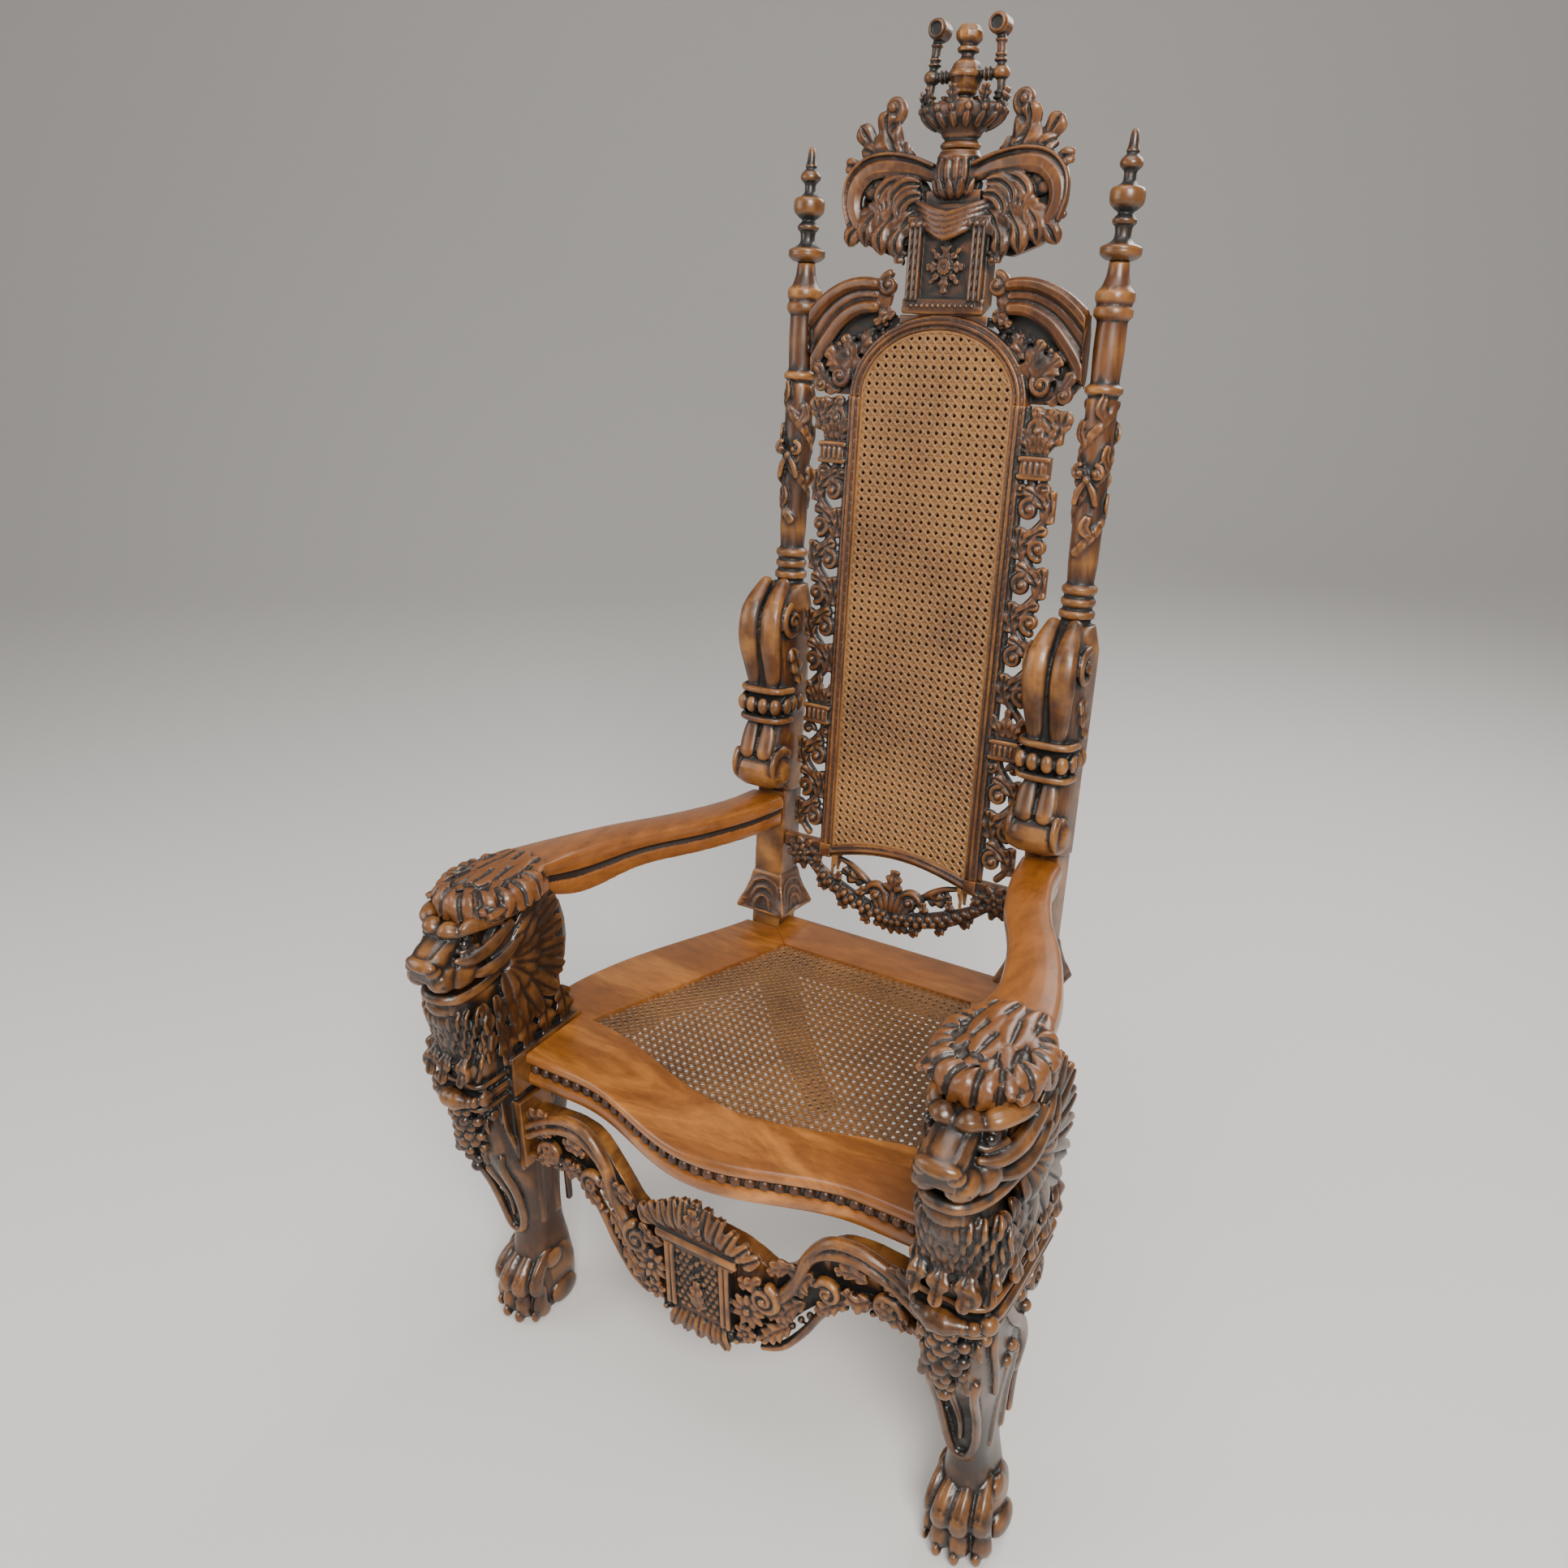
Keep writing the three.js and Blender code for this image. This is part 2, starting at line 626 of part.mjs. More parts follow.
// A rail with a flat board above, a bead in a hollow, and a moulded board below
function railSolid(outline) {
  const snug = insetOutline(outline, JOINT_GAP / 2);
  const upper = plate(snug, SEAT_HEIGHT - 15, SEAT_HEIGHT);
  const lower = plate(insetOutline(outline, 2), SEAT_BOTTOM, SEAT_BOTTOM + 18);
  const middle = plate(insetOutline(outline, 6), SEAT_BOTTOM + 17, SEAT_HEIGHT - 14);
  return fuse([upper, middle, lower]);
}

function caneOutline(gap) {
  const front = bowCurve(CANE_FRONT_HALF, CANE_FRONT, CANE_BOW, 10, 1);
  return insetOutline([...front, [CANE_REAR_HALF, CANE_REAR], [-CANE_REAR_HALF, CANE_REAR]], gap);
}

// Back: everything here stands in a group that leans with the posts

const archPoint = (angle, outset) => [
  (BACK_OPENING_HALF + outset) * Math.cos(angle),
  ARCH_SPRING + (ARCH_RISE + outset) * Math.sin(angle),
];
const bottomPoint = (x, lift) => [
  x,
  BACK_BOTTOM + lift + BACK_BOTTOM_RISE * Math.cos((Math.PI / 2) * (x / (BACK_OPENING_HALF + MOULDING_WIDTH))),
];

function openingOutline(outset, lift) {
  const points = [];
  for (let i = 0; i <= ARCH_STEPS; i += 1) points.push(archPoint((Math.PI * i) / ARCH_STEPS, outset));
  for (let i = 0; i <= 6; i += 1) {
    points.push(bottomPoint(mix(-1, 1, i / 6) * (BACK_OPENING_HALF + outset), lift));
  }
  return points;
}

const mouldingBack = BACK_FRONT + MOULDING_DEPTH;
const fretFront = BACK_FRONT + 4;
const fretMiddle = fretFront + FRET_DEPTH / 2;
const fretEdge = BACK_OPENING_HALF + MOULDING_WIDTH;

const FRET_END = POST_X - 40.5; // the border stops short of the brackets on the posts
const RAIL_END = POST_X - SHAFT_RADIUS - 4 - JOINT_GAP;

// The pierced border beside the cane: a wavy band of leaves with openings, and two crowned blocks
function stileSolid() {
  const inner = BACK_OPENING_HALF;
  const outer = fretEdge;
  const top = ARCH_SPRING - JOINT_GAP;
  const moulding = board([[inner, STILE_LOW], [outer, STILE_LOW], [outer, top], [inner, top]], BACK_FRONT, mouldingBack);
  const y = fretMiddle;
  const half = FRET_DEPTH / 2;
  const edge = [];
  const waves = 20;
  for (let i = 0; i <= waves; i += 1) {
    const z = mix(STILE_LOW, top, i / waves);
    const block = Math.min(Math.abs(z - BLOCK_LOW - 30), Math.abs(z - BLOCK_HIGH - 30));
    const wide = block < 45 ? 40 : FRET_WIDTH - (i % 2 === 0 ? 12 : 0);
    const flare = Math.max(0, z - BLOCK_HIGH - 60) * 0.7;
    edge.push([outer + wide + flare, z]);
  }
  const shape = new THREE.Shape([[outer - 3, STILE_LOW], ...edge, [outer - 3, top]]
    .map(([x, z]) => new THREE.Vector2(x, z)));
  const gaps = 11;
  for (let i = 0; i < gaps; i += 1) {
    const z = mix(STILE_LOW + 36, top - 30, i / (gaps - 1));
    const block = Math.min(Math.abs(z - BLOCK_LOW - 30), Math.abs(z - BLOCK_HIGH - 30));
    if (block > 48) {
      const x = outer + (i % 2 === 0 ? 17 : 28);
      const hole = new THREE.Path();
      const lean = i % 2 === 0 ? 5 : -5;
      hole.setFromPoints([
        [x - 9 + lean, z + 16], [x + 4 + lean, z + 20], [x + 10 - lean, z - 14], [x - 6 - lean, z - 20],
      ].map(([u, w]) => new THREE.Vector2(u, w)));
      shape.holes.push(hole);
    }
  }
  const g = new THREE.ExtrudeGeometry(shape, { depth: FRET_DEPTH, bevelEnabled: false, curveSegments: 4 });
  g.rotateX(Math.PI / 2);
  g.translate(0, fretFront + FRET_DEPTH, 0);
  const parts = [moulding, solidOf(g)];
  for (const height of [BLOCK_LOW, BLOCK_HIGH]) {
    parts.push(box(outer - 2, outer + 38, y - half - 4, y + half - 3, height, height + 30));
    parts.push(leaf([outer + 19, y - 3, height + 30], Math.PI / 2, 44, 46, 10));
  }
  const leaves = [
    [0.07, 1.2], [0.2, 1.9], [0.46, 1.5], [0.66, 1.9], [0.93, 1.2],
  ];
  for (const [share, angle] of leaves) {
    parts.push(leaf([outer + (angle > 1.5 ? 36 : 10), y - 4, mix(STILE_LOW, top, share)], angle, 56, 34, 10));
  }
  const room = fuse([
    box(0, FRET_END, -DEPTH, DEPTH, STILE_LOW, top),
    box(0, RAIL_END, -DEPTH, DEPTH, slopeLength(1086), top),
  ]);
  return largest(fuse(parts).intersect(room));
}

// Two arched rails from the posts to the shield, and the arched top of the cane's moulding
function topRailSolid() {
  const ring = [];
  for (let i = 0; i <= ARCH_STEPS; i += 1) ring.push(archPoint((Math.PI * i) / ARCH_STEPS, MOULDING_WIDTH));
  for (let i = ARCH_STEPS; i >= 0; i -= 1) ring.push(archPoint((Math.PI * i) / ARCH_STEPS, 0));
  const up = (rise) => ARCH_SPRING + rise;
  const parts = [board(ring, BACK_FRONT, mouldingBack)];
  for (const side of [-1, 1]) {
    const turn = (angle) => (side > 0 ? angle : Math.PI - angle);
    const line = [
      vec(side * (POST_X - 12), -10, up(56)), vec(side * 188, -12, up(86)), vec(side * 158, -16, up(116)),
      vec(side * 122, -20, up(132)), vec(side * 84, -22, up(130)),
    ];
    const rings = [];
    const curve = new THREE.CatmullRomCurve3(line);
    const count = 7;
    for (let i = 0; i <= count; i += 1) {
      const t = i / count;
      const p = curve.getPoint(t);
      const d = curve.getTangent(t);
      const n = vec(-d.z, 0, d.x).multiplyScalar(-side);
      const w = mix(32, 22, t);
      const at = (a, b) => vec(p.x + n.x * a, p.y + b, p.z + n.z * a);
      rings.push([at(-w, 16), at(-w, -8), at(-w + 8, -14), at(2, -12), at(w - 8, -22), at(w, -16), at(w, 16)]);
    }
    parts.push(loft(rings));
    const spandrel = [
      [64, up(104)], [86, up(82)], [104, up(66)], [118, up(44)], [129, up(0)], [176, up(0)], [196, up(26)],
      [184, up(52)], [150, up(100)], [104, up(124)],
    ];
    parts.push(board(spandrel.map(([x, z]) => [side * x, z]), -20, -4));
    parts.push(leaf([side * 126, -16, up(50)], turn(0.75), 62, 50, 13));
  }
  parts.push(box(-70, 70, -18, 12, CREST_BASE - 14, CREST_BASE - JOINT_GAP));
  const room = fuse([
    box(-RAIL_END, RAIL_END, -DEPTH, DEPTH, ARCH_SPRING, CREST_BASE - JOINT_GAP),
    box(-RAIL_END, -SHIELD_HALF - 6, -DEPTH, DEPTH, ARCH_SPRING, RAIL_TOP - JOINT_GAP),
    box(SHIELD_HALF + 6, RAIL_END, -DEPTH, DEPTH, ARCH_SPRING, RAIL_TOP - JOINT_GAP),
  ]);
  return largest(fuse(parts).intersect(room));
}

// Bottom rail of the back with a hanging garland, two volutes and a shell
function bottomRailSolid() {
  const edge = BACK_OPENING_HALF + MOULDING_WIDTH;
  const upper = [];
  const lower = [];
  for (let i = 0; i <= 8; i += 1) {
    const x = mix(-1, 1, i / 8) * edge;
    upper.push(bottomPoint(x, 0));
    lower.push(bottomPoint(x, -18));
  }
  const parts = [board([...upper, ...lower.reverse()], BACK_FRONT, mouldingBack)];
  const y = fretMiddle;
  const hang = (drop) => BACK_BOTTOM - drop;
  for (const side of [-1, 1]) {
    const turn = (angle) => (side > 0 ? angle : Math.PI - angle);
    const x0 = side > 0 ? BACK_OPENING_HALF + 1 : -edge;
    parts.push(box(x0, x0 + MOULDING_WIDTH - 1, BACK_FRONT, mouldingBack, BACK_BOTTOM - 14, STILE_LOW - JOINT_GAP));
    const tab = side > 0 ? edge - 2 : -postInner + JOINT_GAP;
    parts.push(box(tab, tab + postInner - edge + 2 - JOINT_GAP, y - 8, y + 8, BACK_BOTTOM - 12, STILE_LOW - 1));
    parts.push(rosette(side * 164, y, hang(18), 25, 13, 5));
    parts.push(stem([
      vec(side * 152, y, hang(26)), vec(side * 118, y - 2, hang(46)), vec(side * 76, y - 4, hang(72)), vec(side * 8, y - 6, hang(88)),
    ], [8, 12, 13, 12], 4, 3));
    parts.push(rosette(side * 27, y - 4, hang(54), 20, 13, 4));
    parts.push(leaf([side * 62, y - 2, hang(72)], turn(0.75), 66, 44, 10, true));
  }
  parts.push(rosette(0, y - 4, hang(82), 36, 16, 5));
  parts.push(leaf([0, y, hang(62)], Math.PI / 2, 74, 46, 10, true));
  const below = box(-DEPTH, DEPTH, -DEPTH, DEPTH, 0, STILE_LOW - JOINT_GAP);
  const middle = box(-BACK_OPENING_HALF, BACK_OPENING_HALF, -DEPTH, DEPTH, 0, BACK_BOTTOM + 40);
  return largest(fuse(parts).intersect(fuse([below, middle])));
}

// Crest: shield, fluted cup, and wings of scrolled leaves
function crestSolid() {
  const top = CREST_BASE + SHIELD_HEIGHT;
  const y = CREST_PLANE;
  const parts = [];
  parts.push(board([
    [-SHIELD_HALF + 10, CREST_BASE], [SHIELD_HALF - 10, CREST_BASE], [SHIELD_HALF, CREST_BASE + 14],
    [SHIELD_HALF, top], [-SHIELD_HALF, top], [-SHIELD_HALF, CREST_BASE + 14],
  ], SHIELD_FACE, SHIELD_FACE + 32));
  for (const side of [-1, 1]) {
    const x = side * (SHIELD_HALF - 8);
    parts.push(box(x - 7, x + 7, SHIELD_FACE - 7, SHIELD_FACE + 4, CREST_BASE + 16, top - 1));
  }
  // A leafy cross in the field of the shield, and folds of cloth over its head
  for (const [angle, long] of [[0, 26], [Math.PI / 2, 40], [Math.PI, 26], [-Math.PI / 2, 36]]) {
    parts.push(leaf([0, SHIELD_FACE, CREST_BASE + 56], angle, long, 20, 6));
  }
  parts.push(egg([0, SHIELD_FACE + 4, top + 4], [54, 20, 18], [0, 0, 0], 6, 3));
  parts.push(box(-40, 40, y - 12, y + 18, top - 10, CUP_BASE + 12));
  const bulge = [[0, 21], [22, 32], [44, 32], [CUP_HEIGHT, 27]];
  parts.push(loft(bulge.map(([z, r]) => {
    const ring = [];
    for (let j = 0; j < 12; j += 1) {
      const a = (2 * Math.PI * j) / 12;
      const lobe = r * (j % 2 === 0 ? 1 : 0.88);
      ring.push(vec(lobe * Math.cos(a), y + lobe * 0.8 * Math.sin(a), CUP_BASE + z - JOINT_GAP));
    }
    return ring;
  })));
  for (const side of [-1, 1]) {
    const turn = (angle) => (side > 0 ? angle : Math.PI - angle);
    parts.push(stem([
      vec(side * 26, y, CUP_BASE + 22), vec(side * 66, y - 2, CUP_BASE + 24), vec(side * 112, y - 6, CUP_BASE + 36), vec(side * 142, y - 6, CUP_BASE + 20),
      vec(side * 146, y - 6, CUP_BASE - 10), vec(side * 128, y - 4, CUP_BASE - 32), vec(side * 108, y - 6, CUP_BASE - 22),
    ], [12, 13, 14, 13, 12, 10, 8], 4, 8, 1.3));
    parts.push(stem([
      vec(side * 26, y, CUP_BASE + 26), vec(side * 66, y, CUP_BASE + 32), vec(side * 94, y, CUP_BASE + 56), vec(side * 112, y - 6, CUP_BASE + 104),
    ], [10, 12, 13, 3], 4, 4, 0.9));
    parts.push(leaf([side * 66, y, CUP_BASE + 30], turn(0.95), 62, 34, 10, true));
    parts.push(leaf([side * 50, y - 2, CUP_BASE + 14], turn(-0.7), 96, 72, 14, true));
    parts.push(leaf([side * 44, y - 4, CUP_BASE - 8], turn(-0.95), 84, 54, 14, true));
    parts.push(leaf([side * 50, y - 4, CUP_BASE - 32], turn(-0.35), 66, 44, 12, true));
  }
  const room = fuse([
    box(-DEPTH, DEPTH, -DEPTH, DEPTH, RAIL_TOP, CROWN_BASE),
    box(-SHIELD_HALF - 5, SHIELD_HALF + 5, -DEPTH, DEPTH, CREST_BASE, CROWN_BASE),
    box(-DEPTH, -66, -DEPTH, DEPTH, RAIL_TOP, CROWN_BASE + 90),
    box(66, DEPTH, -DEPTH, DEPTH, RAIL_TOP, CROWN_BASE + 90),
  ]);
  return largest(fuse(parts).intersect(room));
}

// Crown: a coronet on a turned neck, with a ball between two scrolled rods
function crownSolid() {
  const z = (rise) => CROWN_BASE + JOINT_GAP + rise;
  const y = CREST_PLANE;
  const parts = [turned([
    [0, z(0)], [26, z(0)], [28, z(6)], [22, z(11)], [28, z(17)], [57, z(38)], [57, z(50)], [10, z(50)],
    [20.5, z(78)], [20.5, z(92)], [8, z(108)], [17, z(124)], [14, z(137)], [0, z(139)],
  ], 8).scale([1, 0.6, 1]).translate([0, y, 0])];
  for (let i = 0; i < 8; i += 1) {
    const a = ((i + 0.5) * Math.PI) / 4;
    parts.push(egg([50 * Math.cos(a), y + 29 * Math.sin(a), z(50)], [13, 10, 16], [0, 0, 0], 4, 2));
  }
  for (const side of [-1, 1]) {
    parts.push(stem([
      vec(side * 51, y, z(44)), vec(side * 47, y, z(90)), vec(side * 42.5, y, z(136)),
    ], [7.5, 7, 6.5], 4, 1));
    parts.push(egg([side * 47.5, y, z(84)], [12, 12, 8], [0, 0, 0], 4, 2));
    const roll = new THREE.CylinderGeometry(12.5, 12.5, 20, 7);
    roll.translate(side * 41, y, z(137));
    parts.push(solidOf(roll));
  }
  parts.push(stem([vec(-48, y, z(86)), vec(0, y, z(86)), vec(48, y, z(86))], [7, 7], 4, 1, 1, vec(0, 0, 1)));
  return largest(fuse(parts));
}

// Front apron: a carved rail that swings down to a shield between the legs
const APRON_LINE = [
  // share of the half width, top and bottom as shares of the apron's height
  [1, 0.92, 0.58], [0.8, 0.98, 0.6], [0.64, 1.0, 0.6], [0.5, 0.84, 0.4],
  [0.36, 0.7, 0.2], [0.26, 0.76, 0.06], [0.12, 0.86, 0.03], [0, 0.88, -0.02],
];

function apronSolid() {
  const halfSpan = legInner - JOINT_GAP;
  const tall = APRON_TOP - APRON_BOTTOM;
  const yAt = (share) => APRON_Y - 22 * Math.cos((Math.PI / 2) * Math.min(1, share)) ** 2;
  const line = [...APRON_LINE.map(([u, t, b]) => [-u, t, b]), ...APRON_LINE.slice(0, -1).reverse()];
  const rings = line.map(([u, top, low]) => {
    const x = u * halfSpan;
    const y = yAt(Math.abs(u));
    const zTop = APRON_BOTTOM + tall * top;
    const zLow = APRON_BOTTOM + tall * low;
    return [
      vec(x, y + APRON_DEPTH, zLow), vec(x, y + 6, zLow), vec(x, y, mix(zLow, zTop, 0.5)),
      vec(x, y + 8, zTop), vec(x, y + APRON_DEPTH, zTop),
    ];
  });
  let rail = loft(rings);
  // Pierced gaps in the leafwork on both sides of the shield
  for (const side of [-1, 1]) {
    for (const [u, share, size] of [[0.32, 0.56, 13], [0.36, 0.36, 12]]) {
      const hole = new THREE.CylinderGeometry(size, size, 4 * APRON_DEPTH, 6);
      hole.translate(side * u * halfSpan, APRON_Y, APRON_BOTTOM + tall * share);
      rail = rail.subtract(solidOf(hole));
    }
  }
  const parts = [rail];
  const front = yAt(0);
  parts.push(box(-50, 50, front - 9, front + 10, APRON_BOTTOM + 26, APRON_BOTTOM + 142));
  parts.push(box(-60, 60, front - 14, front + 8, APRON_BOTTOM + 142, APRON_BOTTOM + 158));
  for (const side of [-1, 1]) {
    const turn = (angle) => (side > 0 ? angle : Math.PI - angle);
    parts.push(box(side * 43 - 6, side * 43 + 6, front - 15, front, APRON_BOTTOM + 32, APRON_BOTTOM + 143));
    parts.push(rosette(side * 76, front - 2, APRON_BOTTOM + 84, 24, 12, 5));
    parts.push(leaf([side * 52, front, APRON_BOTTOM + 30], turn(0.6), 66, 44, 12));
    parts.push(leaf([side * 84, front + 4, APRON_BOTTOM + 132], turn(0.9), 70, 46, 12));
    parts.push(stem([
      vec(side * 300, APRON_Y + 2, APRON_BOTTOM + tall * 0.8), vec(side * 240, APRON_Y - 2, APRON_BOTTOM + tall * 0.9),
      vec(side * 190, APRON_Y - 4, APRON_BOTTOM + tall * 0.88), vec(side * 150, APRON_Y - 6, APRON_BOTTOM + tall * 0.62),
    ], [12, 14, 14, 10], 4, 3));
    parts.push(rosette(side * 262, APRON_Y + 2, APRON_BOTTOM + tall * 0.72, 20, 12, 4));
    parts.push(leaf([side * 28, front + 2, APRON_BOTTOM + 150], turn(1.25), 58, 30, 10, true));
  }
  parts.push(leaf([0, front + 2, APRON_BOTTOM + 150], Math.PI / 2, 68, 36, 11, true));
  parts.push(rosette(0, front, APRON_BOTTOM + 16, 28, 12, 5));
  const room = box(-halfSpan, halfSpan, -DEPTH, DEPTH, 0, SEAT_BOTTOM - JOINT_GAP);
  return largest(fuse(parts).intersect(room));
}

// The pieces, each built once and mirrored where the throne has a pair

const lion = lionSolid();
const post = postSolid();

const finishes = {
  carved: new THREE.MeshStandardMaterial({ color: 0x6b4326, roughness: 0.42, metalness: 0 }),
  plain: new THREE.MeshStandardMaterial({ color: 0x9a6a34, roughness: 0.35, metalness: 0 }),
  cane: new THREE.MeshStandardMaterial({ color: 0xa07a48, roughness: 0.6, metalness: 0 }),
};

const throne = new THREE.Group();
const back = new THREE.Group();
back.position.set(0, POST_SEAT_Y, SEAT_HEIGHT);
back.rotation.x = -BACK_RAKE;
throne.add(back);

function place(group, name, geometry, finish, x = 0, y = 0, z = 0) {
  const mesh = new THREE.Mesh(geometry, finish);
  mesh.name = name;
  mesh.position.set(x, y, z);
  group.add(mesh);
}

function placePair(group, name, solid, finish, x, y = 0, z = 0) {
  const geometry = geometryOf(solid);
  place(group, `${name}_right`, geometry, finish, x, y, z);
  place(group, `${name}_left`, mirrored(geometry), finish, -x, y, z);
}

placePair(throne, 'lion_leg', lion, finishes.carved, LEG_X);
placePair(throne, 'arm', armSolid(), finishes.plain, 0);
placePair(throne, 'rear_post', post, finishes.carved, POST_X);
placePair(back, 'finial', finialSolid(), finishes.carved, POST_X, 0, SHAFT_TOP);

place(throne, 'seat_rail_front', geometryOf(railSolid(frontOutline())), finishes.plain);
place(throne, 'seat_rail_back', geometryOf(railSolid(rearOutline())), finishes.plain);
placePair(throne, 'seat_rail', railSolid(sideOutline()), finishes.plain, 0);
const caneTop = SEAT_HEIGHT - CANE_DROP;
place(throne, 'seat_cane', geometryOf(plate(caneOutline(JOINT_GAP), caneTop - CANE_THICKNESS, caneTop)), finishes.cane);

placePair(back, 'back_stile', stileSolid(), finishes.carved, 0);
place(back, 'back_top_rail', geometryOf(topRailSolid()), finishes.carved);
place(back, 'back_bottom_rail', geometryOf(bottomRailSolid()), finishes.carved);
place(back, 'crest', geometryOf(crestSolid()), finishes.carved);
place(back, 'crown', geometryOf(crownSolid()), finishes.carved);
const cane = openingOutline(-JOINT_GAP, 0.5 + JOINT_GAP);
place(back, 'back_cane_front', geometryOf(board(cane, BACK_FRONT + 8, BACK_FRONT + 8 + CANE_THICKNESS)), finishes.cane);
place(back, 'back_cane_rear', geometryOf(board(cane, mouldingBack - 6, mouldingBack - 6 + CANE_THICKNESS)), finishes.cane);
place(throne, 'front_apron', geometryOf(apronSolid()), finishes.carved);

export default throne;
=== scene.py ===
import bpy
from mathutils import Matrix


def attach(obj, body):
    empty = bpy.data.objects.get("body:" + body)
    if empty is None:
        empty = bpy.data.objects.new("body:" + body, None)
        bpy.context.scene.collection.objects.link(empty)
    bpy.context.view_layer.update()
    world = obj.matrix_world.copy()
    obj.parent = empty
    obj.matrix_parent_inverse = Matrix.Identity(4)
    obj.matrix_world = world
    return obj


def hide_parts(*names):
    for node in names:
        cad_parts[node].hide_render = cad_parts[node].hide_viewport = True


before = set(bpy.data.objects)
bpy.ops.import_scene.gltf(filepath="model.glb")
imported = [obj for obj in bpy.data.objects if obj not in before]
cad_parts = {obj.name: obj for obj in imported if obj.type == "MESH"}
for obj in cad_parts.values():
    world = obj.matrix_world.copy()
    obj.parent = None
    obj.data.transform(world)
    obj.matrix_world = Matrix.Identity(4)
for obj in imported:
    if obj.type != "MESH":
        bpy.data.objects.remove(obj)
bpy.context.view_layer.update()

# Carved hardwood throne. The carved pieces are built from strokes of the gouge, given in
# millimetres in the throne's own frame, fused into one skin and smoothed.
import math

import bpy
import numpy as np
from mathutils import Euler, Matrix, Vector

bl_info = {
    "name": "Carved throne",
    "version": (1, 0, 0),
    "blender": (4, 5, 0),
    "location": "3D View > Sidebar > Throne",
    "description": "Carves a throne with lion legs, a pierced back, a crest and woven cane",
    "category": "Object",
}

MM = 0.001
# Loose bits under this share of a piece's points are dropped
SPECK = 0.02
# Darkened spots, mostly painted shade, are left off points that look further back than this
NOT_REAR = 0.35
FRONT = (0.0, -1.0, 0.0)
UPWARD = (0.0, 0.0, 1.0)
SEAT_HEIGHT = 486.0
POST_SEAT_Y = 222.0
RAKE = math.radians(6.8)
LEG_X = 360.0
POST_X = 224.0
# Heights in the back's own frame, which leans by the rake and starts at the seat
CREST_BASE = 928.3
SHAFT_TOP = 993.3
CUP_BASE = 1068.3
RAIL_TOP = CREST_BASE + 62
CROWN_BASE = 1126.6
OPENING = 111.0
ARCH_SPRING = 820.0
ARCH_RISE = 88.0


# Strokes and forms

def unit(v):
    return v / np.maximum(np.linalg.norm(v, axis=-1, keepdims=True), 1e-9)


def course(points, steps):
    """A smooth course through rows of numbers."""
    p = np.asarray(points, float)
    s = np.linspace(0, len(p) - 1, steps)
    i = np.clip(s.astype(int), 0, len(p) - 2)
    f = (s - i)[:, None]
    a, b = p[np.maximum(i - 1, 0)], p[i]
    c, d = p[i + 1], p[np.minimum(i + 2, len(p) - 1)]
    cubic = (2 * a - 5 * b + 4 * c - d) * f ** 2 + (3 * b - a - 3 * c + d) * f ** 3
    return 0.5 * (2 * b + (c - a) * f + cubic)


def axes_along(path, up):
    """Directions along, across and out of a path."""
    along = unit(np.gradient(path, axis=0))
    side = unit(np.cross(along, np.broadcast_to(np.asarray(up, float), along.shape)))
    return along, side, np.cross(side, along)


def axes_across(up):
    """A direction, and the two directions square to it."""
    up = np.asarray(up, float)
    level = unit(np.cross(up, UPWARD)) if abs(up[2]) < 0.9 else np.array([1.0, 0.0, 0.0])
    return up, level, np.cross(level, up)


def raised(at, out, rows):
    """Points at the given distances along a direction and at the given heights."""
    return [at + out * reach + np.array([0.0, 0.0, z]) for reach, z in rows]


class Carving:
    """Collects closed forms, in millimetres, and the places that are darkened, mostly painted shade in deep
    places.
    """

    def __init__(self):
        self.points = []
        self.faces = []
        self.count = 0
        self.deep = []

    def put(self, points, faces):
        points = np.asarray(points, float)
        self.faces += [tuple(i + self.count for i in face) for face in faces]
        self.points.append(points)
        self.count += len(points)

    def all_points(self):
        return np.concatenate(self.points)

    def mirror(self):
        """Adds the other half, mirrored across the middle."""
        points = self.all_points()
        self.faces += [tuple(i + self.count for i in reversed(face)) for face in self.faces]
        self.points = [points, points * np.array([-1.0, 1.0, 1.0])]
        self.count *= 2
        self.deep += [((-at[0], at[1], at[2]), *rest) for at, *rest in self.deep]

    def lean(self):
        """Turns the back's own frame into the throne's."""
        self.points = [leant(self.all_points())]
        self.deep = [(tuple(leant(np.array([at]))[0]), *rest) for at, *rest in self.deep]

    def move(self, x):
        self.points = [self.all_points() + np.array([x, 0.0, 0.0])]
        self.deep = [((at[0] + x, at[1], at[2]), *rest) for at, *rest in self.deep]

    def reshape(self, axis, rule):
        """Sets one coordinate of every point by a rule."""
        p = self.all_points()
        p[:, axis] = rule(p)
        self.points = [p]

    def clip(self, axis, low=-1e9, high=1e9):
        self.reshape(axis, lambda p: np.clip(p[:, axis], low, high))


def leant(p):
    out = p.copy()
    out[:, 1] = POST_SEAT_Y + p[:, 1] * math.cos(RAKE) + p[:, 2] * math.sin(RAKE)
    out[:, 2] = SEAT_HEIGHT - p[:, 1] * math.sin(RAKE) + p[:, 2] * math.cos(RAKE)
    return out


def loft(work, rings):
    """Joins rings of points into a closed skin."""
    rings = np.asarray(rings, float)
    rows, around = rings.shape[:2]
    faces = []
    for i in range(rows - 1):
        for j in range(around):
            a, b = i * around + j, i * around + (j + 1) % around
            faces.append((a, b, b + around, a + around))
    faces.append(tuple(reversed(range(around))))
    faces.append(tuple(range((rows - 1) * around, rows * around)))
    work.put(rings.reshape(-1, 3), faces)


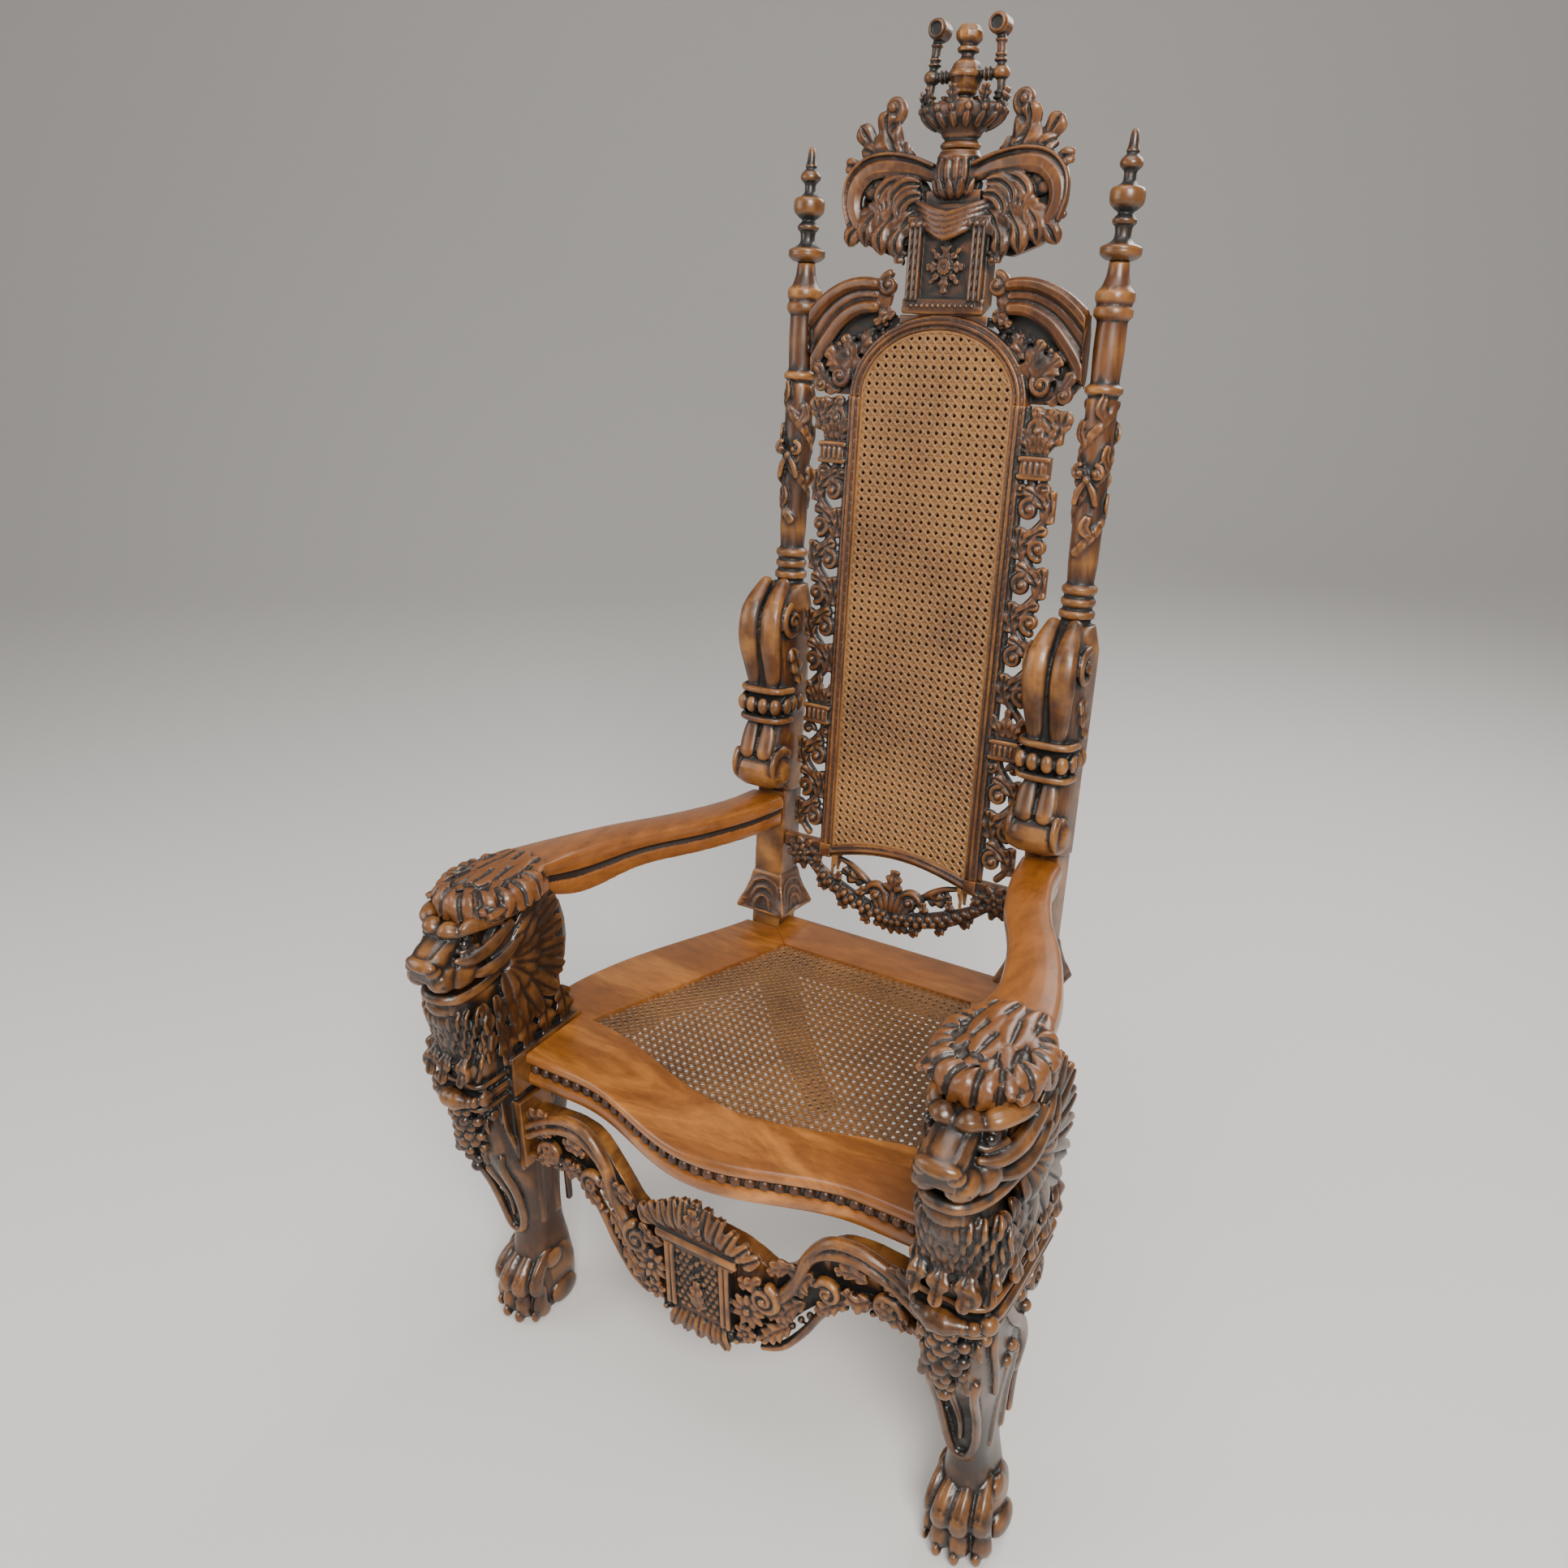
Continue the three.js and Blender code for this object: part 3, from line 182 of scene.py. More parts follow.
def sweep(work, points, up=FRONT, sides=8, steps=None):
    """A stroke along a smooth course of (x, y, z, half width, half height) rows."""
    rows = [tuple(p) if len(p) == 5 else (*p, p[3]) for p in points]
    rows = course(rows, steps or max(6, 4 * len(rows)))
    at, wide, thick = rows[:, :3], np.maximum(rows[:, 3], 0.3), np.maximum(rows[:, 4], 0.3)
    along, side, rise = axes_along(at, up)
    shares = [0.45, 0.85]
    first = [(at[0] - along[0] * wide[0] * k, wide[0] * s, thick[0] * s, side[0], rise[0])
             for k, s in zip((0.85, 0.5), shares)]
    last = [(at[-1] + along[-1] * wide[-1] * k, wide[-1] * s, thick[-1] * s, side[-1], rise[-1])
            for k, s in zip((0.5, 0.85), reversed(shares))]
    middle = list(zip(at, wide, thick, side, rise))
    angles = (np.arange(sides) + 0.5) * 2 * math.pi / sides
    rings = [c + np.outer(np.cos(angles) * w, s) + np.outer(np.sin(angles) * t, r)
             for c, w, t, s, r in first + middle + last]
    loft(work, rings)


def ball(work, at, radii, turn=(0.0, 0.0, 0.0), around=14, down=9):
    if np.isscalar(radii):
        radii = (radii, radii, radii)
    rotation = np.array(Euler(turn).to_matrix())
    rings = []
    for i in range(1, down):
        a = math.pi * i / down
        ring = [(math.sin(a) * math.cos(b), math.sin(a) * math.sin(b), -math.cos(a))
                for b in np.arange(around) * 2 * math.pi / around]
        rings.append(np.array(ring) * radii @ rotation.T + at)
    loft(work, rings)


def beads(work, points, radius, squash=1.0):
    for p in points:
        ball(work, p, (radius, radius * squash, radius), around=8, down=6)


def block(work, x0, x1, y0, y1, z0, z1):
    ring = [(x0, y0), (x1, y0), (x1, y1), (x0, y1)]
    loft(work, [[(x, y, z) for x, y in ring] for z in (z0, z1)])


def board(work, outline, y0, y1):
    loft(work, [[(x, y, z) for x, z in outline] for y in (y0, y1)])


def lathe(work, profile, base=0.0, y=0.0, flat=1.0, lobes=0, depth=0.0, around=32):
    """Turns a profile of (radius, height above base), with lobes round it where they are asked for."""
    angles = np.arange(around) * 2 * math.pi / around
    rings = []
    for r, z in profile:
        if lobes:
            r = r * (1 - depth * (1 - np.abs(np.cos(lobes * angles / 2))))
        rings.append(np.stack([r * np.cos(angles), y + flat * r * np.sin(angles),
                               np.full(around, base + z)], axis=1))
    loft(work, rings)


def volute(work, centre, reach, start, turns, wide, thick, hand=1, up=FRONT, rise=4.0):
    """A scroll that winds in to a raised eye, in the plane across up."""
    up, e1, e2 = axes_across(up)
    rows = []
    count = max(8, int(12 * turns))
    for i in range(count + 1):
        t = i / count
        a = start + hand * turns * 2 * math.pi * t
        r = reach * (1 - 0.78 * t ** 0.8)
        p = np.asarray(centre) + e1 * r * math.cos(a) + e2 * r * math.sin(a) + up * rise * t
        rows.append((*p, wide * (1 - 0.55 * t), thick * (1 - 0.3 * t)))
    sweep(work, rows, up, steps=3 * count)
    ball(work, np.asarray(centre) + up * (rise + thick * 0.4), wide * 0.8)


def acanthus(work, spine, width, lobes=4, up=FRONT, thick=4.0, curl=3.0):
    """A broad leaf: a groove down the middle, lobed edges with a swelling in each, a lifted tip."""
    count = 6 * max(lobes, 2) + 7
    path = course(spine, count)
    along, side, rise = axes_along(path, up)
    t = np.linspace(0, 1, count)
    wave = 0.5 - 0.5 * np.cos(2 * math.pi * lobes * t) if lobes else np.ones(count)
    reach = 0.84 if lobes else 0.76
    edge = width * np.sin(math.pi * (0.14 + reach * t ** 0.9)) ** 0.75 * (0.62 + 0.38 * wave ** 0.6)
    rings = []
    for i in range(count):
        ring = []
        for u in (-1.0, -0.82, -0.55, -0.25, 0.0, 0.25, 0.55, 0.82, 1.0):
            a = abs(u)
            groove = 0.32 if a == 0 else 0.0
            swell = 0.4 + 0.8 * math.sin(math.pi * min(1.0, 0.12 + 0.8 * a)) ** 0.9 - groove
            swell *= 1 - 0.55 * (1 - wave[i]) * min(1.0, 2 * a)
            ring.append(path[i] + side[i] * u * edge[i] + along[i] * 0.5 * a * edge[i]
                        + rise[i] * (thick * swell + curl * t[i] ** 3))
        for u in (0.85, 0.0, -0.85):
            ring.append(path[i] + side[i] * u * edge[i] + along[i] * 0.5 * abs(u) * edge[i]
                        - rise[i] * (thick * 0.6 - curl * t[i] ** 3))
        rings.append(ring)
    loft(work, rings)


def flower(work, at, radius, petals, up=FRONT, thick=5.0):
    up, e1, e2 = axes_across(up)
    p = np.asarray(at)
    w = radius * 2.3 / petals
    for i in range(petals):
        a = 2 * math.pi * (i + 0.25) / petals
        out = e1 * math.cos(a) + e2 * math.sin(a)
        sweep(work, [(*(p + out * radius * 0.2), w * 0.5, thick * 0.7),
                     (*(p + out * radius * 0.65 + up * 2), w * 1.15, thick),
                     (*(p + out * radius * 0.95 + up * 3), w * 0.7, thick * 0.7)], up, steps=8)
    ball(work, p + up * thick * 0.9, radius * 0.24)


def lock(work, rows, up, width, strands=3):
    """A lock of hair: strands side by side that run out to one point."""
    path = course(rows, 10)
    _, side, rise = axes_along(path, up)
    for k in range(strands):
        off = (k - (strands - 1) / 2) * 2 / max(1, strands)
        taper = np.sin(np.linspace(0.35, math.pi * 0.98, 10))
        points = path + side * (off * width * 0.62 * taper)[:, None]
        points = points + rise * ((0.18 if off == 0 else 0.0) * width)
        w = width * 1.15 / strands * (0.35 + 0.65 * taper)
        sweep(work, [(*p, a, a * 1.15) for p, a in zip(points, w)], up, sides=7, steps=14)


# From strokes to finished pieces

def none_selected():
    for other in bpy.context.selected_objects:
        other.select_set(False)


def only(obj):
    none_selected()
    obj.select_set(True)
    bpy.context.view_layer.objects.active = obj


def apply_all(obj):
    only(obj)
    for modifier in list(obj.modifiers):
        bpy.ops.object.modifier_apply(modifier=modifier.name)


def linked(name, data):
    obj = bpy.data.objects.new(name, data)
    bpy.context.scene.collection.objects.link(obj)
    return obj


def raw_mesh(work, name):
    mesh = bpy.data.meshes.new(name)
    mesh.from_pydata((work.all_points() * MM).tolist(), [], work.faces)
    return linked(name, mesh)


def facing_out(work, name):
    """The strokes as they are, with every face turned outward."""
    obj = raw_mesh(work, name)
    only(obj)
    bpy.ops.object.mode_set(mode="EDIT")
    bpy.ops.mesh.select_all(action="SELECT")
    bpy.ops.mesh.normals_make_consistent(inside=False)
    bpy.ops.object.mode_set(mode="OBJECT")
    return obj


def points_of(mesh):
    """The points of a mesh, in millimetres."""
    co = np.empty(len(mesh.vertices) * 3)
    mesh.vertices.foreach_get("co", co)
    return co.reshape(-1, 3) / MM


def edges_of(mesh):
    """The two point numbers of every edge."""
    edges = np.empty(len(mesh.edges) * 2, np.int64)
    mesh.edges.foreach_get("vertices", edges)
    return edges.reshape(-1, 2)


def fused(work, name, grain, most, rounds=2):
    """Fuses the strokes into one skin, eases it and thins it to a number of triangles."""
    obj = raw_mesh(work, name)
    only(obj)
    obj.data.remesh_voxel_size = grain * MM
    obj.data.remesh_voxel_adaptivity = 0.0
    obj.data.use_remesh_preserve_volume = True
    bpy.ops.object.voxel_remesh()
    ease = obj.modifiers.new("ease", "SMOOTH")
    ease.factor = 0.5
    ease.iterations = rounds
    triangles = 2 * len(obj.data.polygons)
    thin = obj.modifiers.new("thin", "DECIMATE")
    thin.ratio = min(1.0, most / max(1, triangles))
    apply_all(obj)
    loose_parts_dropped(obj)
    mark_depth(obj, work.deep)
    bpy.ops.object.shade_smooth()
    return obj


def loose_parts_dropped(obj):
    """Deletes specks that the fusing leaves apart from the piece."""
    count = len(obj.data.vertices)
    edges = edges_of(obj.data)
    label = np.arange(count)
    while True:
        low = np.minimum(label[edges[:, 0]], label[edges[:, 1]])
        before = label.copy()
        np.minimum.at(label, edges[:, 0], low)
        np.minimum.at(label, edges[:, 1], low)
        label = label[label]
        if np.array_equal(before, label):
            break
    sizes = np.bincount(label, minlength=count)
    small = sizes[label] < SPECK * count
    if small.any():
        only(obj)
        obj.data.vertices.foreach_set("select", small)
        for part in (obj.data.edges, obj.data.polygons):
            part.foreach_set("select", np.zeros(len(part), bool))
        bpy.ops.object.mode_set(mode="EDIT")
        bpy.ops.mesh.select_mode(type="VERT")
        bpy.ops.mesh.delete(type="VERT")
        bpy.ops.object.mode_set(mode="OBJECT")


def blurred(grid, width):
    for axis in range(3):
        total = np.cumsum(np.insert(grid, 0, 0, axis=axis), axis=axis)
        ahead = np.roll(total, -width, axis=axis)
        grid = np.take(ahead - total, np.arange(grid.shape[axis]), axis=axis)
        grid = np.roll(grid, width // 2, axis=axis)
    return grid


def mark_depth(obj, deep=()):
    """Stores how deep each point lies in the carving, the mask for dark wax and painted shade, and how far it
    stands out, the mask for rubbed wear and painted highlight.
    """
    mesh = obj.data
    count = len(mesh.vertices)
    co = points_of(mesh)
    no = np.array([v.normal for v in mesh.vertices]).reshape(-1, 3)
    edges = edges_of(mesh)
    near = np.bincount(edges.ravel(), minlength=count)
    value = co.copy()
    for _ in range(3):
        total = np.zeros_like(value)
        for axis in range(3):
            total[:, axis] += np.bincount(edges[:, 0], value[edges[:, 1], axis], count)
            total[:, axis] += np.bincount(edges[:, 1], value[edges[:, 0], axis], count)
        value = total / np.maximum(near, 1)[:, None]
    bend = ((value - co) * no).sum(1)
    area = np.zeros(count)
    for polygon in mesh.polygons:
        share = polygon.area / MM ** 2 / polygon.loop_total
        for i in polygon.vertices:
            area[i] += share
    # Sparse points on a flat face must not count as a crowd
    area = np.minimum(area, 1.6 * np.median(area))
    # Surface crowding just out from each point, with hollow bends, stands in for ambient occlusion: painted
    # shade, together with dark wax
    cell, reach, window = 2.5, 9.0, 5
    low = co.min(0) - 5 * reach
    size = ((co.max(0) - low + 5 * reach) / cell).astype(int)
    spot = ((co - low) / cell).astype(int)
    grid = np.bincount(np.ravel_multi_index(spot.T, size), area, int(np.prod(size))).reshape(size)
    for _ in range(2):
        grid = blurred(grid, window)
    ahead = ((co + no * reach - low) / cell).astype(int)
    crowd = grid[tuple(ahead.T)]
    crowd = crowd / max(1e-6, np.percentile(crowd, 90))
    recess = np.clip(1.15 * crowd + np.clip(bend, 0, 2) * 0.5 - 0.16, 0, 1)
    # Places listed by the pieces are darkened further, mostly as painted shade
    for at, size_of, *amount in deep:
        away = np.linalg.norm(co - np.array(at), axis=1)
        dark = np.clip(1.5 * (1 - away / size_of), 0, 1) * (amount[0] if amount else 1.0)
        recess = np.maximum(recess, dark * (no[:, 1] < NOT_REAR))
    # Proud points take the rubbed colour: wear with painted highlight
    store_marks(mesh, recess, np.clip(-bend * 1.3 - 0.12, 0, 1) * (1 - recess))


def store_marks(mesh, recess, proud):
    for name, value in (("recess", recess), ("proud", proud)):
        layer = mesh.attributes.get(name) or mesh.attributes.new(name, "FLOAT", "POINT")
        layer.data.foreach_set("value", value.astype(np.float32))


def mark_plain(obj, low, high, amount=1.0):
    """Marks a plain piece as clean, but for a band of painted shade between two heights, in millimetres."""
    z = points_of(obj.data)[:, 2]
    store_marks(obj.data, amount * ((z > low) & (z < high)), np.zeros(len(z)))


def finished(obj, node, material):
    """Gives a piece its finish and its place in the frame, with the node it stands for, if any."""
    obj.data.materials.clear()
    obj.data.materials.append(material)
    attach(obj, "root")
    if node:
        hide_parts(node)
        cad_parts[node].hide_render = True
        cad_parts[node].hide_viewport = True


def carved(obj, node):
    obj.name = node + "_carved"
    finished(obj, node, FINISHES["carved"])


def twin(obj, name):
    """The same piece for the other side."""
    other = obj.copy()
    other.data = obj.data.copy()
    other.name = name
    bpy.context.scene.collection.objects.link(other)
    other.data.transform(Matrix.Scale(-1, 4, (1, 0, 0)))
    other.data.flip_normals()
    return other


def pair(obj, base, material):
    obj.name = base + "_right_carved"
    other = twin(obj, base + "_left_carved")
    finished(obj, base + "_right", material)
    finished(other, base + "_left", material)


def smooth_by_angle(obj, degrees):
    only(obj)
    bpy.ops.object.shade_smooth_by_angle(angle=math.radians(degrees))


# Finishes

def sockets(group, kind, names):
    for name, what, default in names:
        socket = group.interface.new_socket(name=name, in_out=kind, socket_type="NodeSocket" + what)
        if default is not None:
            socket.default_value = default


class Board:
    """Lays shader nodes and joins them."""

    def __init__(self, tree):
        self.tree = tree

    def node(self, kind, inputs=None, **settings):
        node = self.tree.nodes.new("ShaderNode" + kind)
        for key, value in settings.items():
            setattr(node, key, value)
        for key, value in (inputs or {}).items():
            socket = node.inputs[key]
            if isinstance(value, bpy.types.NodeSocket):
                self.tree.links.new(value, socket)
            else:
                socket.default_value = value
        return node

    def math(self, operation, a, b=0.0, clamp=False):
        return self.node("Math", {0: a, 1: b}, operation=operation, use_clamp=clamp).outputs[0]

    def mix(self, factor, a, b):
        return self.node("Mix", {0: factor, 6: a, 7: b}, data_type="RGBA").outputs[2]

    def span(self, value, *limits):
        """Maps from the first two limits to the other two, or to 0 and 1."""
        return self.node("MapRange", {0: value, **dict(enumerate(limits, 1))}).outputs[0]

    def noise(self, place, scale, detail, **more):
        inputs = {"Vector": place, "Scale": scale, "Detail": detail, **more}
        return self.node("TexNoise", inputs).outputs["Fac"]

    def place(self):
        return self.node("TexCoord").outputs["Object"]


def node_group(name, inputs, outputs):
    tree = bpy.data.node_groups.new(name, "ShaderNodeTree")
    sockets(tree, "INPUT", inputs)
    sockets(tree, "OUTPUT", outputs)
    given = tree.nodes.new("NodeGroupInput").outputs
    wanted = tree.nodes.new("NodeGroupOutput").inputs
    return Board(tree), given, wanted


def blank_material(name):
    material = bpy.data.materials.new(name)
    material.use_nodes = True
    material.node_tree.nodes.clear()
    return material, Board(material.node_tree)


def figure_group():
    """Grain and pores of the timber."""
    b, given, wanted = node_group(
        "Timber figure",
        [("Place", "Vector", None), ("Dark", "Color", (0.05, 0.02, 0.01, 1)),
         ("Middle", "Color", (0.15, 0.06, 0.02, 1)), ("Light", "Color", (0.3, 0.14, 0.05, 1))],
        [("Colour", "Color", None), ("Height", "Float", None)])
    broad = b.noise(given["Place"], 9.0, 6.0, Roughness=0.62, Distortion=1.4)
    fine = b.noise(given["Place"], 70.0, 4.0, Roughness=0.7)
    broad = b.span(broad, 0.32, 0.68)
    first = b.mix(b.math("MULTIPLY", broad, 2.0, True), given["Dark"], given["Middle"])
    upper = b.node("Math", {0: broad, 1: 2.0, 2: -1.0}, operation="MULTIPLY_ADD", use_clamp=True)
    second = b.mix(upper.outputs[0], first, given["Light"])
    pores = b.span(fine, 0.35, 0.6, 0.72, 1.05)
    colour = b.node("VectorMath", {0: second, "Scale": pores}, operation="SCALE").outputs[0]
    b.tree.links.new(colour, wanted["Colour"])
    b.tree.links.new(fine, wanted["Height"])


def shade_and_wear_group():
    """Dark wax and dust with painted shade in the depths, rubbed wear with painted highlight on what stands out.
    """
    b, given, wanted = node_group(
        "Shade and highlight over wax and wear",
        [("Colour", "Color", (0.2, 0.1, 0.05, 1)), ("Place", "Vector", None),
         ("Depth", "Float", 0.0), ("Proud", "Float", 0.0), ("Wax and painted shade", "Color", (0.01, 0.006, 0.004, 1)),
         ("Rubbed and painted highlight", "Color", (0.5, 0.3, 0.15, 1)), ("Wear and highlight amount", "Float", 0.6)],
        [("Colour", "Color", None), ("Gloss loss", "Float", None)])
    patches = b.noise(given["Place"], 22.0, 5.0)
    # Depth mask: dark wax together with painted shade
    wax_and_shade = b.span(given["Depth"], 0.24, 0.7)
    # Proud mask: rubbed wear together with painted highlight
    rub_and_highlight = b.math("MULTIPLY", b.math("MULTIPLY", given["Proud"], given["Wear and highlight amount"]),
                 b.span(patches, 0.3, 0.65), True)
    colour = b.mix(rub_and_highlight, given["Colour"], given["Rubbed and painted highlight"])
    colour = b.mix(wax_and_shade, colour, given["Wax and painted shade"])
    b.tree.links.new(colour, wanted["Colour"])
    b.tree.links.new(b.math("MULTIPLY", wax_and_shade, 0.3), wanted["Gloss loss"])


def timber(name, dark, middle, light, wax_and_shade, rubbed_and_highlight, stretch=(1.0, 1.0, 0.16), wear_and_highlight_amount=0.6,
           shine=0.3, coat=0.25):
    material, b = blank_material(name)
    place = b.place()
    grain = b.node("Mapping", {"Vector": place, "Scale": stretch}).outputs[0]
    figure = b.node("Group", node_tree=bpy.data.node_groups["Timber figure"])
    shade_and_wear_node = b.node("Group", node_tree=bpy.data.node_groups["Shade and highlight over wax and wear"])
    for key, value in (("Dark", dark), ("Middle", middle), ("Light", light)):
        figure.inputs[key].default_value = value
    # The wax colour serves dark wax and painted shade, the rubbed colour serves wear and painted highlight
    for key, value in (("Wax and painted shade", wax_and_shade), ("Rubbed and painted highlight", rubbed_and_highlight), ("Wear and highlight amount", wear_and_highlight_amount)):
        shade_and_wear_node.inputs[key].default_value = value
    b.tree.links.new(grain, figure.inputs["Place"])
    b.tree.links.new(figure.outputs["Colour"], shade_and_wear_node.inputs["Colour"])
    b.tree.links.new(place, shade_and_wear_node.inputs["Place"])
    # The recess mark drives wax and painted shade, the proud mark drives wear and painted highlight
    for key, layer in (("Depth", "recess"), ("Proud", "proud")):
        b.tree.links.new(b.node("Attribute", attribute_name=layer).outputs["Fac"], shade_and_wear_node.inputs[key])
    height = figure.outputs["Height"]
    rough = b.math("ADD", b.span(height, 0.0, 1.0, shine - 0.06, shine + 0.1), shade_and_wear_node.outputs["Gloss loss"])
    relief = b.node("Bump", {"Strength": 0.12, "Distance": 0.0008, "Height": height})
    shader = b.node("BsdfPrincipled", {"Base Color": shade_and_wear_node.outputs["Colour"], "Roughness": rough,
                                       "Normal": relief.outputs[0], "Coat Weight": coat,
                                       "Coat Roughness": 0.22})
    b.node("OutputMaterial", {"Surface": shader.outputs[0]})
    return material


def cane_finish(name, dark, light, scale):
    material, b = blank_material(name)
    place = b.place()
    broad = b.noise(place, 7.0, 4.0)
    fine = b.noise(place, scale, 3.0)
    share = b.math("ADD", b.math("MULTIPLY", broad, 0.6), b.math("MULTIPLY", fine, 0.5))
    colour = b.mix(b.span(share, 0.35, 0.75), dark, light)
    relief = b.node("Bump", {"Strength": 0.2, "Distance": 0.0004, "Height": fine})
    shader = b.node("BsdfPrincipled", {"Base Color": colour, "Roughness": 0.42,
                                       "Normal": relief.outputs[0], "Coat Weight": 0.15})
    b.node("OutputMaterial", {"Surface": shader.outputs[0]})
    return material


def rgb(values):
    """A colour given in steps of 255, in the renderer's linear values."""
    return (*[((v / 255 + 0.055) / 1.055) ** 2.4 if v > 10 else v / 255 / 12.92 for v in values], 1.0)


# Painted shade in the hollow of the moulding
FINISHES = {}


def make_finishes(colours):
    figure_group()
    shade_and_wear_group()
    # In each timber the fourth colour is dark wax with painted shade, the fifth rubbed wear with painted
    # highlight
    FINISHES["carved"] = timber("Carved hardwood", rgb((34, 16, 6)), tuple(colours.carved) + (1.0,),
                                rgb((100, 57, 21)), rgb((8, 4, 2)), rgb((170, 114, 54)), wear_and_highlight_amount=0.65,
                                shine=0.36, coat=0.15)
    FINISHES["lion"] = timber("Dark carved hardwood", rgb((18, 8, 4)), rgb((38, 19, 8)), rgb((64, 35, 13)),
                              rgb((5, 3, 2)), rgb((150, 98, 46)))
    FINISHES["plain"] = timber("Plain hardwood", rgb((118, 68, 28)), tuple(colours.plain) + (1.0,),
                               rgb((172, 110, 50)), rgb((12, 7, 4)), rgb((196, 138, 74)),
                               stretch=(0.3, 1.0, 1.0), coat=0.4, wear_and_highlight_amount=0.4)
    FINISHES["arm"] = timber("Arm hardwood", rgb((116, 66, 25)), rgb((132, 77, 30)),
                             rgb((146, 88, 36)), rgb((30, 16, 7)), rgb((184, 126, 66)),
                             stretch=(1.0, 0.3, 1.0), shine=0.28, coat=0.45)
    FINISHES["back_cane"] = cane_finish("Back cane", rgb((82, 52, 25)), tuple(colours.cane) + (1.0,), 220.0)
    FINISHES["seat_cane"] = cane_finish("Seat cane", rgb((60, 38, 20)), rgb((124, 84, 44)), 200.0)


# Settings that a user would change

def linear(values):
    return rgb(values)[:3]


class ThroneColours(bpy.types.PropertyGroup):
    carved: bpy.props.FloatVectorProperty(
        # The beads are partly darkened with painted shade of the hollow they sit in
        name="Carved wood", description="Middle tone of the carved wood", subtype="COLOR",
        default=linear((66, 34, 12)), min=0.0, max=1.0)
    plain: bpy.props.FloatVectorProperty(
        name="Plain wood", description="Middle tone of the seat frame", subtype="COLOR",
        default=linear((126, 74, 27)), min=0.0, max=1.0)
    cane: bpy.props.FloatVectorProperty(
        name="Back cane", description="Light tone of the cane in the back", subtype="COLOR",
        default=linear((142, 99, 52)), min=0.0, max=1.0)
    floor: bpy.props.FloatVectorProperty(
        name="Floor", description="Tone of the floor under the throne", subtype="COLOR",
        default=(0.62, 0.61, 0.6), min=0.0, max=1.0)


class ThroneSizes(bpy.types.PropertyGroup):
    grain: bpy.props.FloatProperty(
        name="Carving grain", description="Smallest detail kept in the carving",
        default=0.002, min=0.001, max=0.01, unit="LENGTH")
    cane_pitch: bpy.props.FloatProperty(
        name="Cane pitch", description="Distance from hole to hole of the woven cane",
        default=0.012, min=0.006, max=0.03, unit="LENGTH")
    bead_pitch: bpy.props.FloatProperty(
        name="Bead pitch", description="Distance from bead to bead along the seat frame",
        default=0.018, min=0.01, max=0.04, unit="LENGTH")
    ground: bpy.props.FloatProperty(
        name="Floor reach", description="Half the width of the floor, which curves up into a wall",
        default=12.0, min=6.0, max=40.0, unit="LENGTH")


# Lion leg, built round its own middle line

LEG_SECTIONS = [
    (0, -280, -198, 33), (46, -294, -192, 37), (96, -286, -196, 32), (150, -280, -202, 26),
    (230, -290, -198, 31), (300, -320, -182, 40), (360, -342, -168, 44), (440, -350, -162, 45),
    (500, -346, -162, 44), (560, -330, -162, 42), (620, -290, -162, 42), (664, -280, -162, 43),
    (703, -270, -168, 40),
]


def leg_front(z):
    return float(np.interp(z, [s[0] for s in LEG_SECTIONS], [s[1] for s in LEG_SECTIONS]))


def leg_half(z):
    return float(np.interp(z, [s[0] for s in LEG_SECTIONS], [s[3] for s in LEG_SECTIONS]))


def lion_body(work):
    rows = course(LEG_SECTIONS, 60)
    angles = (np.arange(28) + 0.5) * 2 * math.pi / 28
    rings = []
    for z, front, rear, half in rows:
        across = np.sign(np.cos(angles)) * np.abs(np.cos(angles)) ** 0.72
        deep = np.sign(np.sin(angles)) * np.abs(np.sin(angles)) ** 0.72
        rings.append(np.stack([half * across, (front + rear) / 2 + (rear - front) / 2 * deep,
                               np.full(28, z)], axis=1))
    loft(work, rings)


